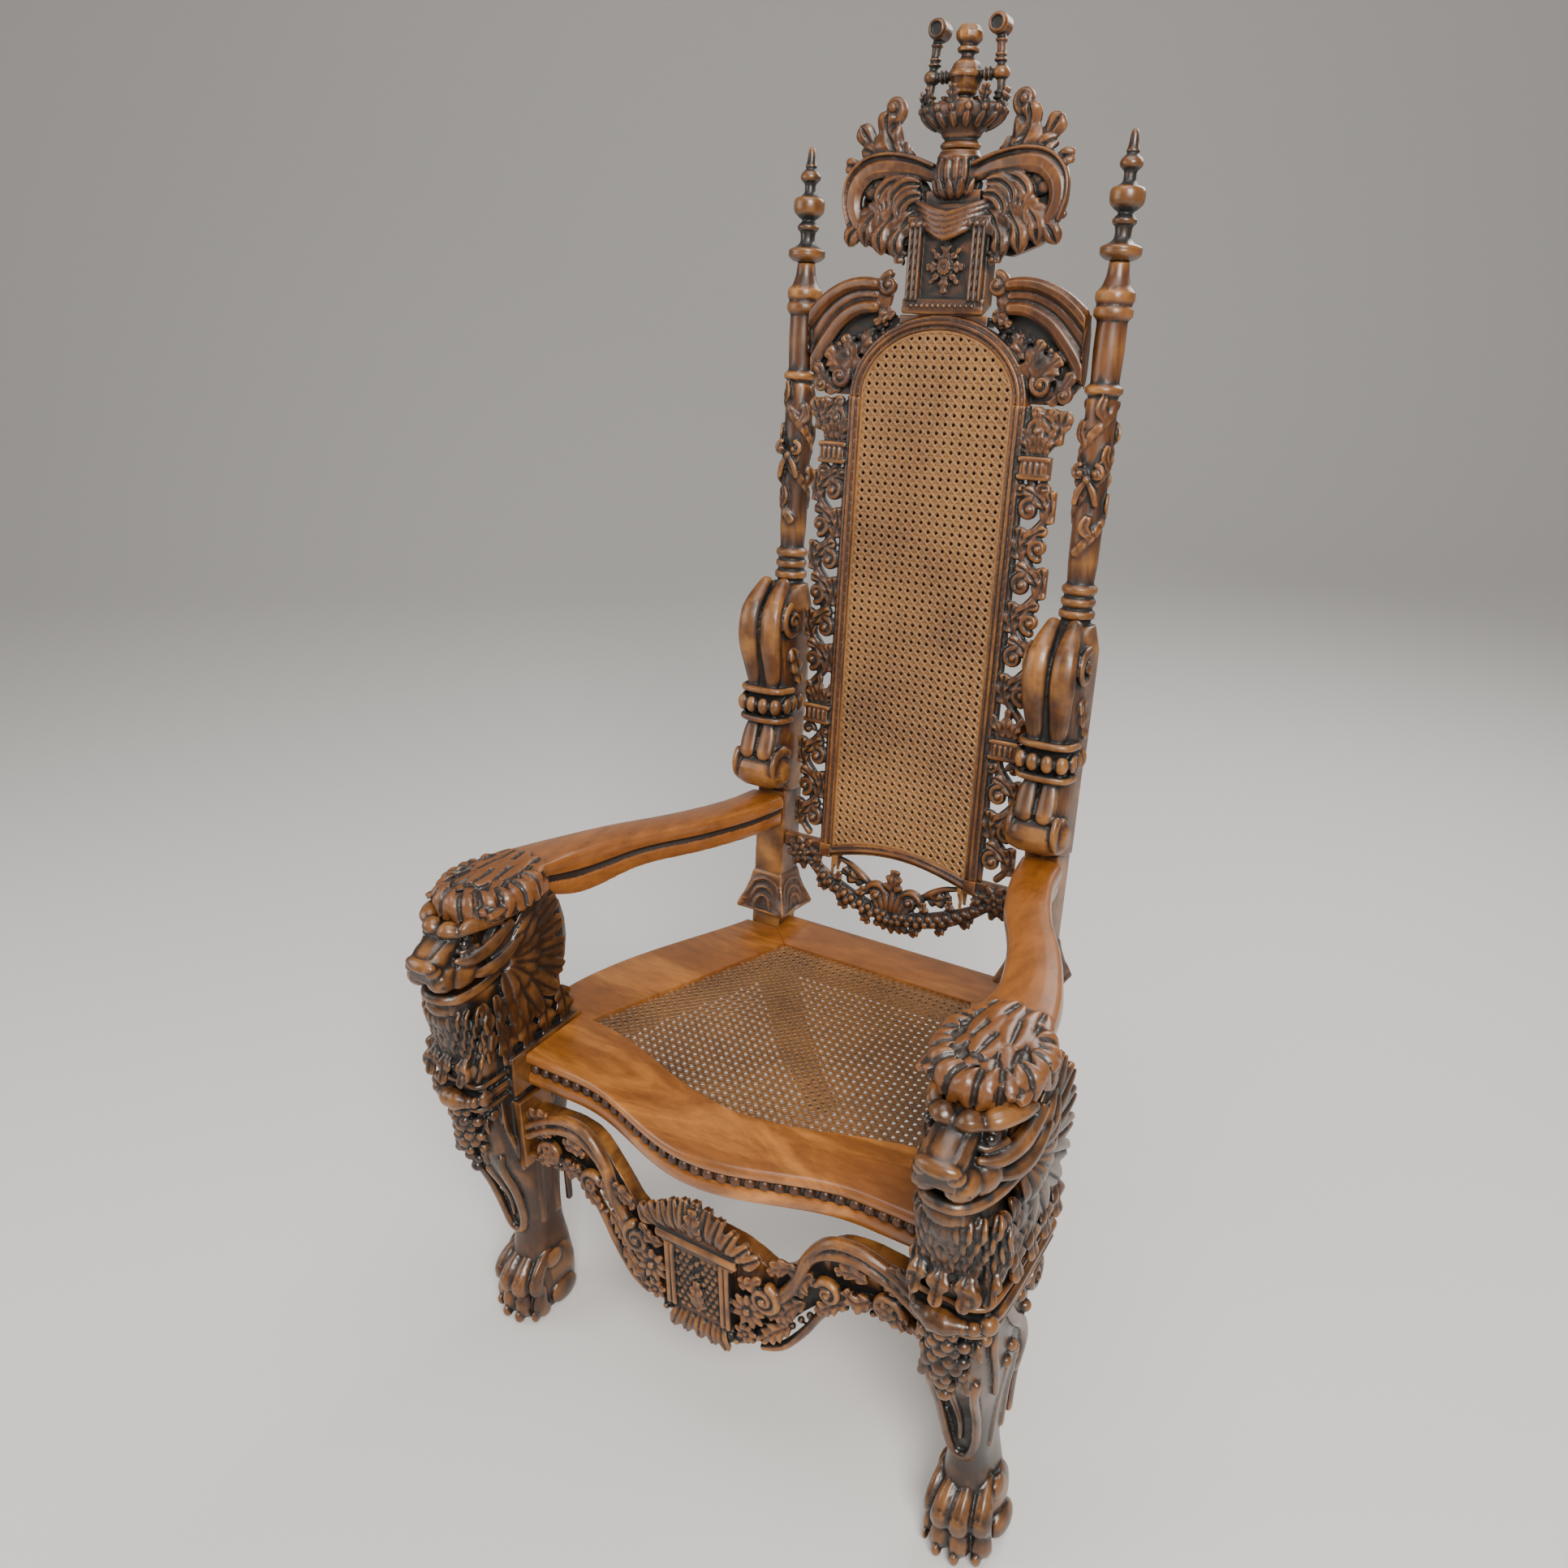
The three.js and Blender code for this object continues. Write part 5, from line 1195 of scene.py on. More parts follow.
def carve_stile(sizes):
    work = Carving()
    low, top = 158.0, 820.2
    for x, wide, face in ((114.5, 3.4, -24), (121, 4.2, -27), (128, 3.2, -23)):
        sweep(work, [(x, face + 6, low, wide, 7), (x, face + 6, top, wide, 7)], steps=4)
    block(work, 111.5, 131, -22, -2, low, top)
    y, axis = -13.0, 158
    block_low, block_high = 345.0, 728.0
    sweep(work, [(133, y, low, 3, 6), (133, y, top, 3, 6)], steps=4)
    # A wavy stem that throws scrolls and leaves into each of its bends
    waves = 13
    rows = []
    for i in range(6 * waves + 1):
        t = i / (6 * waves)
        z = low + 8 + t * (top - low - 16)
        rows.append((axis + 15 * math.sin(math.pi * waves * t), y, z, 6, 7))
    sweep(work, rows, steps=len(rows) * 2)
    pitch = (top - low - 16) / waves
    for k in range(waves):
        z = low + 8 + (k + 0.5) * pitch
        near = min(abs(z - block_low - 25), abs(z - block_high - 25))
        side = 1 if k % 2 == 0 else -1
        bend = axis + side * 15
        if near > 34:
            volute(work, (axis - side * 9, y - 2, z + 2), 14, math.pi / 2 * side, 1.25, 6.4, 8, -side,
                   rise=3)
            acanthus(work, [(bend - side * 4, y, z - 16), (bend + side * 5, y - 2, z + 4),
                            (bend + side * 2, y - 1, z + 28)], 16, 3, thick=6)
            acanthus(work, [(bend, y - 1, z + 4), (axis - side * 2, y - 3, z + 20),
                            (axis - side * 18, y - 1, z + 28)], 12, 2, thick=6)
        # Painted shade in each bend behind the scroll
        work.deep.append(((axis - side * 20, y + 8, z + 22), 10))
    for height in (block_low, block_high):
        block(work, 132, 170, -26, -6, height, height + 30)
        for z in (height + 4, height + 26):
            sweep(work, [(131, -24, z, 3.5, 4), (171, -24, z, 3.5, 4)], UPWARD)
        for x in (139, 147, 155, 163):
            sweep(work, [(x, -26, height + 9, 2.6, 2.6), (x, -26, height + 21, 2.6, 2.6)])
        for off, tall in ((-13, 32), (0, 44), (13, 32)):
            acanthus(work, [(151 + off * 0.6, -16, height + 28), (151 + off, -20, height + 30 + tall * 0.5),
                            (151 + off * 1.7, -16, height + 30 + tall)], 9, 3, thick=3.5)
        for hand in (-1, 1):
            volute(work, (151 + hand * 16, -16, height - 12), 10, 0.0, 1.2, 4, 5, hand=hand)
    for row, width in (([(166, 772), (180, 792), (188, 816)], 14),
                       ([(158, 776), (150, 798), (146, 816)], 12),
                       ([(170, 780), (168, 800), (170, 818)], 12)):
        acanthus(work, [(x, y - 2, z) for x, z in row], width, 2, thick=6)
    work.clip(0, 111.5, 198.0)
    work.clip(2, low, top)
    work.reshape(0, lambda p: np.minimum(p[:, 0], np.interp(p[:, 2], [600, 788, 800], [183.5, 184, 198])))
    work.lean()
    return fused(work, "back_stile", 0.85 * 1000 * sizes.grain, 60000)


def carve_top_rail(sizes):
    work = Carving()
    half_turn = np.linspace(0, math.pi / 2, 16)
    for outset, wide, face in ((3.5, 3.4, -24), (10, 4.2, -27), (17, 3.2, -23)):
        arch = [arch_point(a, outset) for a in half_turn]
        sweep(work, [(x, face + 8, z, wide, 8) for x, z in arch], steps=40)
    for a, b in zip(half_turn[:-1], half_turn[1:]):
        board(work, [arch_point(a, 0.5), arch_point(a, 19.5), arch_point(b, 19.5), arch_point(b, 0.5)],
              -21, -2)
    # The arched rail, with lines along it and an end that curls in
    line = [(214, -10, 872), (190, -12, 904), (160, -16, 934), (124, -20, 950), (90, -22, 950)]
    course_of = course(line, 30)
    along = unit(np.gradient(course_of, axis=0))
    across = np.stack([along[:, 2], np.zeros(30), -along[:, 0]], axis=1)
    widths = np.linspace(31, 21, 30)
    for share, wide, deep, face in ((-0.62, 0.4, 9, -9), (0.08, 0.34, 9, -7), (0.66, 0.38, 12, -13)):
        points = course_of + across * (widths * share)[:, None]
        sweep(work, [(p[0], p[1] + face + 8, p[2], w * wide, deep)
                     for p, w in zip(points[::3], widths[::3])], steps=40)
    sweep(work, [(x, y + 5, z, w * 0.97, 9) for (x, y, z), w in zip(course_of[::4], widths[::4])], steps=30)
    volute(work, (78, -22, 964), 14, math.pi / 2, 1.4, 6, 8, hand=1)
    acanthus(work, [(70, -14, 930), (84, -18, 926), (98, -16, 916)], 10, 3, thick=5)
    # Pearls and leaves in the space below, before a board darkened with painted shade
    beads(work, [(84 + 10 * k, -14, 916 - 4.2 * k + 0.02 * k * k) for k in range(9)], 5.2)
    beads(work, [(88 + 11 * k, -12, 904 - 5.6 * k) for k in range(8)], 4.6)
    outline = [(64, 922), (88, 902), (106, 886), (120, 864), (129, 822), (176, 822), (196, 846), (182, 872),
               (150, 918), (104, 942)]
    board(work, outline, -9, -3)
    # Painted shade on the board behind the pearls and leaves
    work.deep += [((100, -8, 908), 22), ((124, -8, 896), 24), ((146, -8, 876), 24), ((165, -8, 850), 22)]
    acanthus(work, [(140, -10, 832), (148, -18, 858), (170, -16, 880)], 20, 4)
    acanthus(work, [(136, -10, 836), (132, -18, 868), (144, -16, 900)], 17, 4)
    acanthus(work, [(150, -10, 828), (172, -16, 838), (188, -14, 862)], 15, 3)
    acanthus(work, [(126, -12, 876), (112, -18, 892), (104, -14, 906)], 11, 3)
    volute(work, (148, -18, 846), 14, 0.4, 1.4, 5, 6, hand=-1)
    volute(work, (178, -16, 834), 10, 2.4, 1.2, 4, 5, hand=1)
    block(work, 0, 64, -16, 10, 914, 927.6)
    work.mirror()
    work.clip(0, -199, 199)
    work.reshape(2, lambda p: np.clip(p[:, 2], 819.8, np.where(np.abs(p[:, 0]) > 64, 989.6, 927.8)))
    work.lean()
    return fused(work, "back_top_rail", 0.85 * 1000 * sizes.grain, 70000)


def carve_bottom_rail(sizes):
    work = Carving()
    xs = np.linspace(0, 130, 14)
    for drop, wide, face in ((-3.5, 3.4, -24), (-10, 4.2, -27), (-16, 3.0, -23)):
        sweep(work, [(x, face + 8, bottom_line(x) + drop, wide, 8) for x in xs], steps=40)
    for a, b in zip(xs[:-1], xs[1:]):
        board(work, [(a, bottom_line(a)), (b, bottom_line(b)), (b, bottom_line(b) - 18),
                     (a, bottom_line(a) - 18)], -21, -2)
    block(work, 112, 131, -26, -2, 136, 157.4)
    block(work, 129, 197.6, -21, -6, 138, 156.5)
    y = -13.0
    flower(work, (164, y - 6, 132), 25, 8)
    flower(work, (164, y - 10, 132), 14, 6)
    acanthus(work, [(176, y, 134), (190, y, 140), (196, y, 150)], 10, 3)
    # Garland of fruit and leaves
    swag = [(150, y - 4, 122, 8), (120, y - 6, 102, 11), (84, y - 8, 84, 13), (46, y - 8, 72, 12),
            (8, y - 8, 66, 11)]
    sweep(work, swag, steps=24)
    path = course([p[:3] for p in swag], 12)
    size = course([(p[3],) for p in swag], 12)[:, 0]
    for p, r in zip(path, size):
        beads(work, [p + np.array([2, -r * 0.75, r * 0.45]), p + np.array([-3, -r * 0.8, -r * 0.35])],
              r * 0.52)
    for p in path[2:9:3]:
        acanthus(work, p + np.array([(0, -2, -4), (-6, -6, -16), (-12, -2, -26)]), 10, 3, thick=3.5)
        acanthus(work, p + np.array([(0, -2, 4), (4, -5, 18), (2, -1, 30)]), 9, 3, thick=3.5)
    volute(work, (27, y - 6, 96), 19, math.pi, 1.5, 6.5, 8, hand=-1)
    sweep(work, [(44, y, 104, 6), (60, y - 2, 118, 6), (78, y, 128, 5), (98, y, 134, 4)])
    acanthus(work, [(52, y, 108), (72, y - 4, 110), (92, y, 120)], 12, 3)
    # Shell and its leaf in the middle
    for k in range(5):
        a = math.pi / 2 + k * 0.36
        tip, z = 34 * math.cos(a), 74 + 30 * math.sin(a)
        for x in (tip, -tip):
            sweep(work, [(0, y - 4, 48, 3), (x * 0.6, y - 12, 48 + (z - 48) * 0.6, 5.5), (x, y - 8, z, 6)],
                  steps=10)
    acanthus(work, [(0, y - 4, 92), (0, y - 10, 116), (0, y - 4, 140)], 17, 4)
    for x, tip in ((0, 36), (12, 40), (24, 48)):
        lock(work, [(x * 0.5, y - 8, 66), (x, y - 10, 50), (x * 1.2, y - 4, tip)], FRONT, 8)
    work.mirror()
    work.clip(0, -197.4, 197.4)
    work.reshape(2, lambda p: np.where(np.abs(p[:, 0]) > 111.5, np.minimum(p[:, 2], 157.4), p[:, 2]))
    work.clip(2, 36)
    work.lean()
    return fused(work, "back_bottom_rail", 0.85 * 1000 * sizes.grain, 56000)


class THRONE_OT_back(bpy.types.Operator):
    """Carves the stiles and rails round the cane of the back."""
    bl_idname = "throne.back"
    bl_label = "Back frame"

    def execute(self, context):
        sizes = context.scene.throne_sizes
        pair(carve_stile(sizes), "back_stile", FINISHES["carved"])
        carved(carve_top_rail(sizes), "back_top_rail")
        carved(carve_bottom_rail(sizes), "back_bottom_rail")
        return {"FINISHED"}


# Crest and crown

def carve_crest(sizes):
    work = Carving()
    top = CREST_BASE + 118
    y = -5.0
    board(work, [(0, CREST_BASE + 0.5), (46, CREST_BASE + 0.5), (57, CREST_BASE + 14), (57, top), (0, top)],
          -18, 9)
    for x in (38, 45, 52):
        sweep(work, [(x, -22, CREST_BASE + 18, 3, 5), (x, -22, top - 6, 3, 5)], steps=4)
    for z, wide in ((CREST_BASE + 15, 3), (CREST_BASE + 6, 4), (top - 4, 4), (top - 13, 2.5)):
        sweep(work, [(0, -20, z, wide, 6), (56, -20, z, wide, 6)], UPWARD, steps=4)
    beads(work, [(4.5 + 9 * k, -25, top - 9) for k in range(6)], 4.2)
    beads(work, [(4 + 8 * k, -24, CREST_BASE + 10.5) for k in range(6)], 3.2)
    middle = CREST_BASE + 58
    for x, rise, width in ((0, 38, 8), (0, -32, 8), (26, 0, 8), (20, 22, 5), (20, -20, 5)):
        end = (x, -20, middle + rise)
        start = (x * 0.1, -19, middle + rise * 0.1)
        half = ((start[0] + x) / 2, -22, (start[2] + end[2]) / 2)
        acanthus(work, [start, half, end], width, 3, thick=2.6, curl=1.5)
    flower(work, (0, -22, middle), 9, 6, thick=3)
    # Folds of cloth that hang over the head of the shield
    for k in range(5):
        z = top + 18 - 8 * k
        out = 58 - 5 * k
        sweep(work, [(out, -12 - k, z + 4, 3.5, 4), (out * 0.6, -22 - k, z - 6 + k, 4.6, 5),
                     (out * 0.25, -27 - k, z - 13 + k, 4.6, 5), (0, -28 - k, z - 16 + k, 4.6, 5)], steps=16)
    ball(work, (0, -4, top + 8), (52, 18, 15))
    sweep(work, [(54, -12, top + 16, 6), (62, -12, top + 2, 6), (60, -12, top - 18, 5),
                 (66, -10, top - 34, 3)])
    block(work, 0, 38, -16, 12, top - 10, CUP_BASE + 10)
    # Small scrolls beside the foot of the shield
    volute(work, (66, -18, RAIL_TOP + 4), 10, 1.0, 1.2, 4, 5)
    # Cup with flutes, a leafy collar and two rings at the neck
    lathe(work, [(1, -2), (18, -2), (20, 4), (27, 12), (31, 24), (32, 36), (29, 46), (22, 50), (1, 50)],
          CUP_BASE, y, flat=0.8, lobes=14, depth=0.16, around=112)
    lathe(work, [(1, 44), (28, 44), (29.5, 49), (27, 53), (26, 56), (1, 57.6)], CUP_BASE, y, flat=0.8)
    for k in range(12):
        a = k * math.pi / 6
        out = np.array([math.cos(a), 0.8 * math.sin(a), 0.0])
        at = np.array([0.0, y, CUP_BASE])
        lock(work, raised(at, out, ((18, 0), (27, 9), (32, 22))), unit(out), 7.5)
    crest_wings(work, y)
    work.mirror()
    work.reshape(2, lambda p: np.clip(
        p[:, 2], np.where(np.abs(p[:, 0]) > 63, 990.8, CREST_BASE + 0.4),
        np.where(np.abs(p[:, 0]) > 66, CROWN_BASE + 90, CROWN_BASE - 0.4)))
    work.clip(0, -158, 158)
    work.lean()
    return fused(work, "crest", 0.75 * 1000 * sizes.grain, 100000)


def crest_wings(work, y):
    """The right wing: a broad hollow band that curls down, filled and fringed with leaves."""
    scroll = [(24, 4, 1096, 10, 8), (54, 9, 1104, 12, 9), (90, 12, 1108, 14, 9), (120, 13, 1104, 14, 9),
              (140, 13, 1086, 14, 9), (144, 13, 1062, 13, 9), (134, 13, 1040, 11, 9), (118, 13, 1034, 9, 9),
              (106, 13, 1042, 7, 8), (106, 13, 1056, 6, 7), (116, 13, 1062, 5, 6)]
    sweep(work, [(x, y - out, z, wide, thick) for x, out, z, wide, thick in scroll], steps=60)
    edge = [(28, 1107), (60, 1118), (96, 1123), (128, 1117), (150, 1098), (156, 1070), (148, 1040)]
    sweep(work, [(x, y - 17, z, 3, 6) for x, z in edge], steps=40)
    # The hollow fan inside the band, in broad shallow flutes
    ball(work, (88, y + 5, 1070), (52, 9, 34), (0, 0.1, 0))
    for k, (x, z) in enumerate([(58, 1084), (76, 1088), (94, 1090), (110, 1088), (122, 1080)]):
        sweep(work, [(42 + 3 * k, y - 3, 1062 - 2 * k, 6, 5),
                     ((x + 46) / 2 + 4, y - 2, (z + 1058) / 2, 9, 5), (x, y - 6, z, 10, 6)], steps=12)
    # Comma shaped lobes in the lower corner of the fan
    for row, width in (([(46, 1086), (66, 1086), (82, 1074), (84, 1060)], 11),
                       ([(44, 1072), (60, 1070), (72, 1058), (72, 1044)], 11),
                       ([(66, 1092), (88, 1088), (102, 1074), (98, 1058)], 10)):
        acanthus(work, [(x, y - 10 - 3 * (i in (1, 2)), z) for i, (x, z) in enumerate(row)], width, 0,
                 thick=6)
    # Leaf tips on the upper edge
    for x, z, dx, dz, width in ((108, 1116, 22, 14, 11), (136, 1108, 20, 4, 10), (74, 1114, 16, 16, 10)):
        acanthus(work, [(x, y - 8, z), (x + dx * 0.6, y - 13, z + dz * 0.7), (x + dx, y - 8, z + dz)],
                 width, 0, thick=5)
    # The tall leaves beside the crown, with tips that turn over
    acanthus(work, [(56, y - 4, 1104), (80, y - 9, 1122), (98, y - 11, 1148), (96, y - 11, 1172)], 24, 3,
             thick=8, curl=6)
    acanthus(work, [(90, y - 2, 1110), (112, y - 7, 1126), (128, y - 9, 1144), (138, y - 8, 1158)], 18, 2,
             thick=7, curl=5)
    volute(work, (90, y - 13, 1176), 13, -1.2, 1.1, 8, 8, hand=1)
    # Full lobes that hang below
    hanging = [
        [(70, 1070), (96, 1060), (118, 1040), (122, 1014)], [(58, 1066), (80, 1050), (97, 1028), (98, 1004)],
        [(48, 1056), (62, 1040), (73, 1020), (72, 998)], [(92, 1056), (118, 1046), (138, 1030), (146, 1016)],
    ]
    for k, row in enumerate(hanging):
        acanthus(work, [(x, y - 6 - 4 * (i % 3), z) for i, (x, z) in enumerate(row)], 19 - k, 2, thick=8.5)
    board(work, [(40, 1080), (40, 1040), (58, 1004), (84, 1000), (118, 1012), (140, 1026), (132, 1056)],
          y - 2, y + 9)
    # Painted shade in the middle of the fan
    work.deep += [((98, y - 6, 1074), 9)]
    # Plain folds on the rear of the wing
    for x, z in ((70, 1060), (100, 1070), (128, 1068)):
        sweep(work, [(x - 26, y + 9, z + 8, 8, 4), (x, y + 11, z, 10, 5), (x + 14, y + 9, z - 18, 7, 4)],
              (0, 1, 0))


def carve_crown(sizes):
    work = Carving()
    y = -5.0
    base = CROWN_BASE + 0.4
    middle = np.array([0.0, y, 0.0])

    def z(rise):
        return base + rise

    lathe(work, [(1, 0), (26, 0), (28, 4), (26, 7), (21, 10), (26, 14), (28, 18), (40, 27), (52, 34),
                 (56, 40), (57, 46), (54, 50), (1, 50)], base, y, flat=0.6, around=56)
    for k in range(9):
        a = k * math.pi / 8 - math.pi / 2
        out = np.array([math.cos(a), 0.6 * math.sin(a), 0.0])
        ball(work, middle + out * 56 + np.array([0, 0, z(43)]), 5.2)
        lock(work, raised(middle, out, ((36, z(24)), (48, z(32)), (56, z(38)))), unit(out), 8)
    for k in range(5):
        a = (k - 2) * math.pi / 4.2
        for front in (-1, 1):
            out = np.array([math.sin(a), front * 0.6 * math.cos(a), 0.0])
            if out[0] < -0.05:
                continue
            acanthus(work, raised(middle + out * 52, out, ((0, z(44)), (3, z(56)), (5, z(68)))), 10, 3,
                     unit(out), 3.2, 2)
    # Ball, collar and faceted knob between the rods
    lathe(work, [(1, 48), (13, 48), (12, 56), (9, 60), (15, 64), (15, 67), (18, 72), (21, 80), (21, 88),
                 (17, 97), (9, 103), (8, 108), (14, 110), (14, 114), (10, 117), (17, 124), (17.5, 131),
                 (12, 139), (1, 140)], base, y, around=10)
    lathe(work, [(1, 76), (21.5, 80), (22.5, 84), (21.5, 88), (1, 92)], base, y)
    # Rods, crossbar and the rolls, with painted shade in the eye of each
    sweep(work, [(51, y, z(40), 6.5), (49, y, z(66), 5.5), (46, y, z(96), 5.5), (43, y, z(130), 6)],
          steps=14)
    for rise, r in ((56, 8.5), (62, 7.5), (98, 8.5), (104, 7.5), (120, 8)):
        ball(work, (51 - rise * 0.062, y, z(rise)), (r, r, 3.2))
    ball(work, (47.3, y, z(84)), (11, 11, 9))
    sweep(work, [(0, y, z(84), 6), (24, y, z(84), 5), (46, y, z(84), 6)], steps=8)
    for x in (27, 33):
        ball(work, (x, y, z(84)), (2.8, 8.5, 8.5))
    rings = []
    for depth, r in ((-13, 9), (-12, 12.5), (12, 12.5), (13, 9)):
        rings.append([(41 + r * math.cos(a), y + depth * 0.85, z(137) + r * math.sin(a))
                      for a in np.arange(24) * math.pi / 12])
    loft(work, rings)
    sweep(work, [(41 + 9 * math.cos(a), y - 11.5, z(137) + 9 * math.sin(a), 2.4, 3.2)
                 for a in np.arange(13) * math.pi / 6], steps=26)
    # Painted shade in the eye of each roll
    work.deep += [((41, y - 12, z(137)), 6.0), ((41, y + 12, z(137)), 5.0)]
    work.mirror()
    work.clip(0, -59.5, 59.5)
    work.clip(2, z(0), z(151))
    work.lean()
    return fused(work, "crown", 0.6 * 1000 * sizes.grain, 42000)


class THRONE_OT_crest(bpy.types.Operator):
    """Carves the crest and the crown on it."""
    bl_idname = "throne.crest"
    bl_label = "Crest and crown"

    def execute(self, context):
        sizes = context.scene.throne_sizes
        carved(carve_crest(sizes), "crest")
        carved(carve_crown(sizes), "crown")
        return {"FINISHED"}


# Apron

APRON_HALF = 307.2


def apron_y(x):
    """How far forward the bowed apron stands."""
    return -286 - 22 * math.cos(math.pi / 2 * min(1.0, abs(x) / APRON_HALF)) ** 2


def apron_z(share):
    """A height as a share of the apron's own."""
    return 176 + 240 * share


def carve_apron(sizes):
    work = Carving()
    outline = [(1, .90, .60), (.86, .93, .64), (.72, .95, .64), (.6, .92, .56), (.48, .77, .42),
               (.36, .6, .22), (.26, .65, .09), (.16, .7, .05), (0, .72, .0)]
    rings = []
    for share, top, low in course(outline, 26):
        x = share * (APRON_HALF - 0.5)
        y = apron_y(x) + 7
        z1, z0 = apron_z(top), apron_z(low)
        rings.append([(x, y + 26, z0), (x, y + 4, z0), (x, y, (z0 + z1) / 2), (x, y + 4, z1),
                      (x, y + 26, z1)])
    loft(work, rings)
    # Double ridged scroll arms that run from the legs down to the shield
    arm = [(304, 0.80), (268, 0.90), (226, 0.965), (186, 0.95), (158, 0.84), (142, 0.66), (120, 0.52),
           (96, 0.5)]
    for lift, wide, thick in ((10, 7.5, 9), (-6, 8.0, 10)):
        sweep(work, [(x, apron_y(x) - 4, apron_z(share) + lift * (1 if x > 170 else 0.4), wide, thick)
                     for x, share in arm], steps=48)
    lower = [(306, 0.62, 5, 8), (262, 0.68, 5, 8), (214, 0.66, 6, 8), (176, 0.5, 6, 8), (150, 0.32, 6, 8),
             (120, 0.16, 6, 8), (92, 0.1, 5, 7)]
    sweep(work, [(x, apron_y(x), apron_z(share), wide, thick) for x, share, wide, thick in lower], steps=48)
    volute(work, (100, apron_y(100) - 8, 292), 22, math.pi * 0.6, 1.6, 7, 8, hand=1)
    volute(work, (262, apron_y(262) - 5, 348), 20, math.pi, 1.5, 6, 8, hand=-1)
    flower(work, (262, apron_y(262) - 8, 348), 13, 6)
    volute(work, (186, apron_y(186) - 5, 338), 18, 0.3, 1.4, 6, 8, hand=1)
    # Leaves along the arm and in the angles
    leaves = [
        [(292, 366), (276, 384), (250, 392)], [(236, 374), (216, 384), (196, 376)],
        [(240, 348), (222, 340), (206, 350)], [(208, 330), (188, 318), (170, 300)],
        [(164, 356), (150, 340), (146, 316)], [(152, 306), (132, 286), (126, 262)],
        [(132, 256), (112, 240), (92, 216)], [(140, 286), (122, 276), (104, 262)],
        [(286, 352), (276, 338), (284, 326)],
        [(146, 352), (124, 352), (106, 336)], [(300, 388), (284, 402), (262, 408)],
    ]
    for k, row in enumerate(leaves):
        acanthus(work, [(x, apron_y(x) - 3 - 4 * (i == 1), z) for i, (x, z) in enumerate(row)],
                 14 if k % 2 else 16, 4, thick=4.2)
    # Painted shade in the angles behind the leaves
    work.deep += [((x, apron_y(x) + 6, z), 17) for x, z in ((118, 318), (128, 232), (196, 352))]
    # Shield with cornice, pilasters and a lattice of small beads
    front = apron_y(0)
    board(work, [(0, 206), (44, 206), (50, 214), (50, 318), (0, 318)], front - 6, front + 10)
    for z, wide, out, half in ((329, 4.5, -16, 60), (320, 3, -13, 54), (338, 2.6, -12, 56),
                               (214, 3, -10, 50)):
        sweep(work, [(0, front + out + 6, z, wide, 8), (half, front + out + 6, z, wide, 8)], UPWARD, steps=4)
    for x in (38.5, 47):
        sweep(work, [(x, front - 9, 218, 4.2, 5), (x, front - 9, 316, 4.2, 5)], steps=4)
    for i in range(10):
        for x in (10, 20, 30) if i % 2 else (0, 15, 25):
            beads(work, [(x, front - 7, 224 + 9.6 * i)], 4.9)
    acanthus(work, [(0, front - 6, 222), (0, front - 12, 248), (0, front - 8, 274)], 13, 4, thick=3.2)
    # Fingers of leaf above the cornice
    for x, tip, lean in ((0, 398, 0), (13, 394, 5), (27, 386, 10), (41, 374, 16), (55, 362, 22),
                         (68, 352, 24)):
        acanthus(work, [(x, front + 2, 336), (x + lean * 0.4, front - 8, (336 + tip) / 2),
                        (x + lean, front - 2, tip)], 11, 0, FRONT, 6.0, -2.0)
    acanthus(work, [(0, front - 4, 340), (0, front - 14, 366), (0, front - 8, 392)], 15, 4)
    # Half flowers and lobes beside the shield, and the scalloped, beaded lower edge
    flower(work, (76, front - 4, 262), 24, 9)
    flower(work, (72, front - 4, 222), 15, 7)
    acanthus(work, [(58, front, 300), (76, front - 6, 306), (94, front, 320)], 12, 3)
    for x, z, r in ((0, 180, 12), (20, 184, 11), (39, 190, 11), (57, 198, 11), (74, 208, 10), (89, 220, 10),
                    (102, 234, 9)):
        z = max(z, 165.8 + r + 3)
        ball(work, (x, apron_y(x) + 4, z), (r, 11, r))
        ball(work, (x, apron_y(x) - 8, z), 4.6)
    for x in (0, 17, 33):
        acanthus(work, [(x, front - 2, 210), (x * 1.1, front - 9, 196), (x * 1.3, front - 6, 180)], 10, 0)
    edge = ([0.36, 0.48, 0.6, 0.72, 1.0], [0.2, 0.4, 0.54, 0.615, 0.59])
    beads(work, [(x, apron_y(x) + 2, apron_z(float(np.interp(x / APRON_HALF, *edge))))
                 for x in range(120, 304, 12)], 5.0)
    work.mirror()
    work.clip(0, -APRON_HALF, APRON_HALF)
    work.clip(2, 166.0, 435.5)
    return fused(work, "front_apron", 0.9 * 1000 * sizes.grain, 100000)


class THRONE_OT_apron(bpy.types.Operator):
    """Carves the apron between the front legs."""
    bl_idname = "throne.apron"
    bl_label = "Front apron"

    def execute(self, context):
        carved(carve_apron(context.scene.throne_sizes), "front_apron")
        return {"FINISHED"}


# Seat frame

def bow_curve(half, edge, bow, steps, power):
    points = []
    for i in range(steps + 1):
        x = -half + 2 * half * i / steps
        u = min(1.0, abs(x) / (half * power))
        points.append((x, edge - bow * (0.5 + 0.5 * math.cos(math.pi * u))))
    return points


def front_outline():
    """The rail from above, and how many of its points lie on the moulded edge."""
    outer = bow_curve(307.5, -278, 50, 48, 0.72)
    inner = bow_curve(284, -166, 62, 36, 1)[::-1]
    return outer + [(307.5, -160.3)] + inner + [(-307.5, -160.3)], len(outer)


POST_FRONT = POST_SEAT_Y - 26 - 50 * math.tan(RAKE)


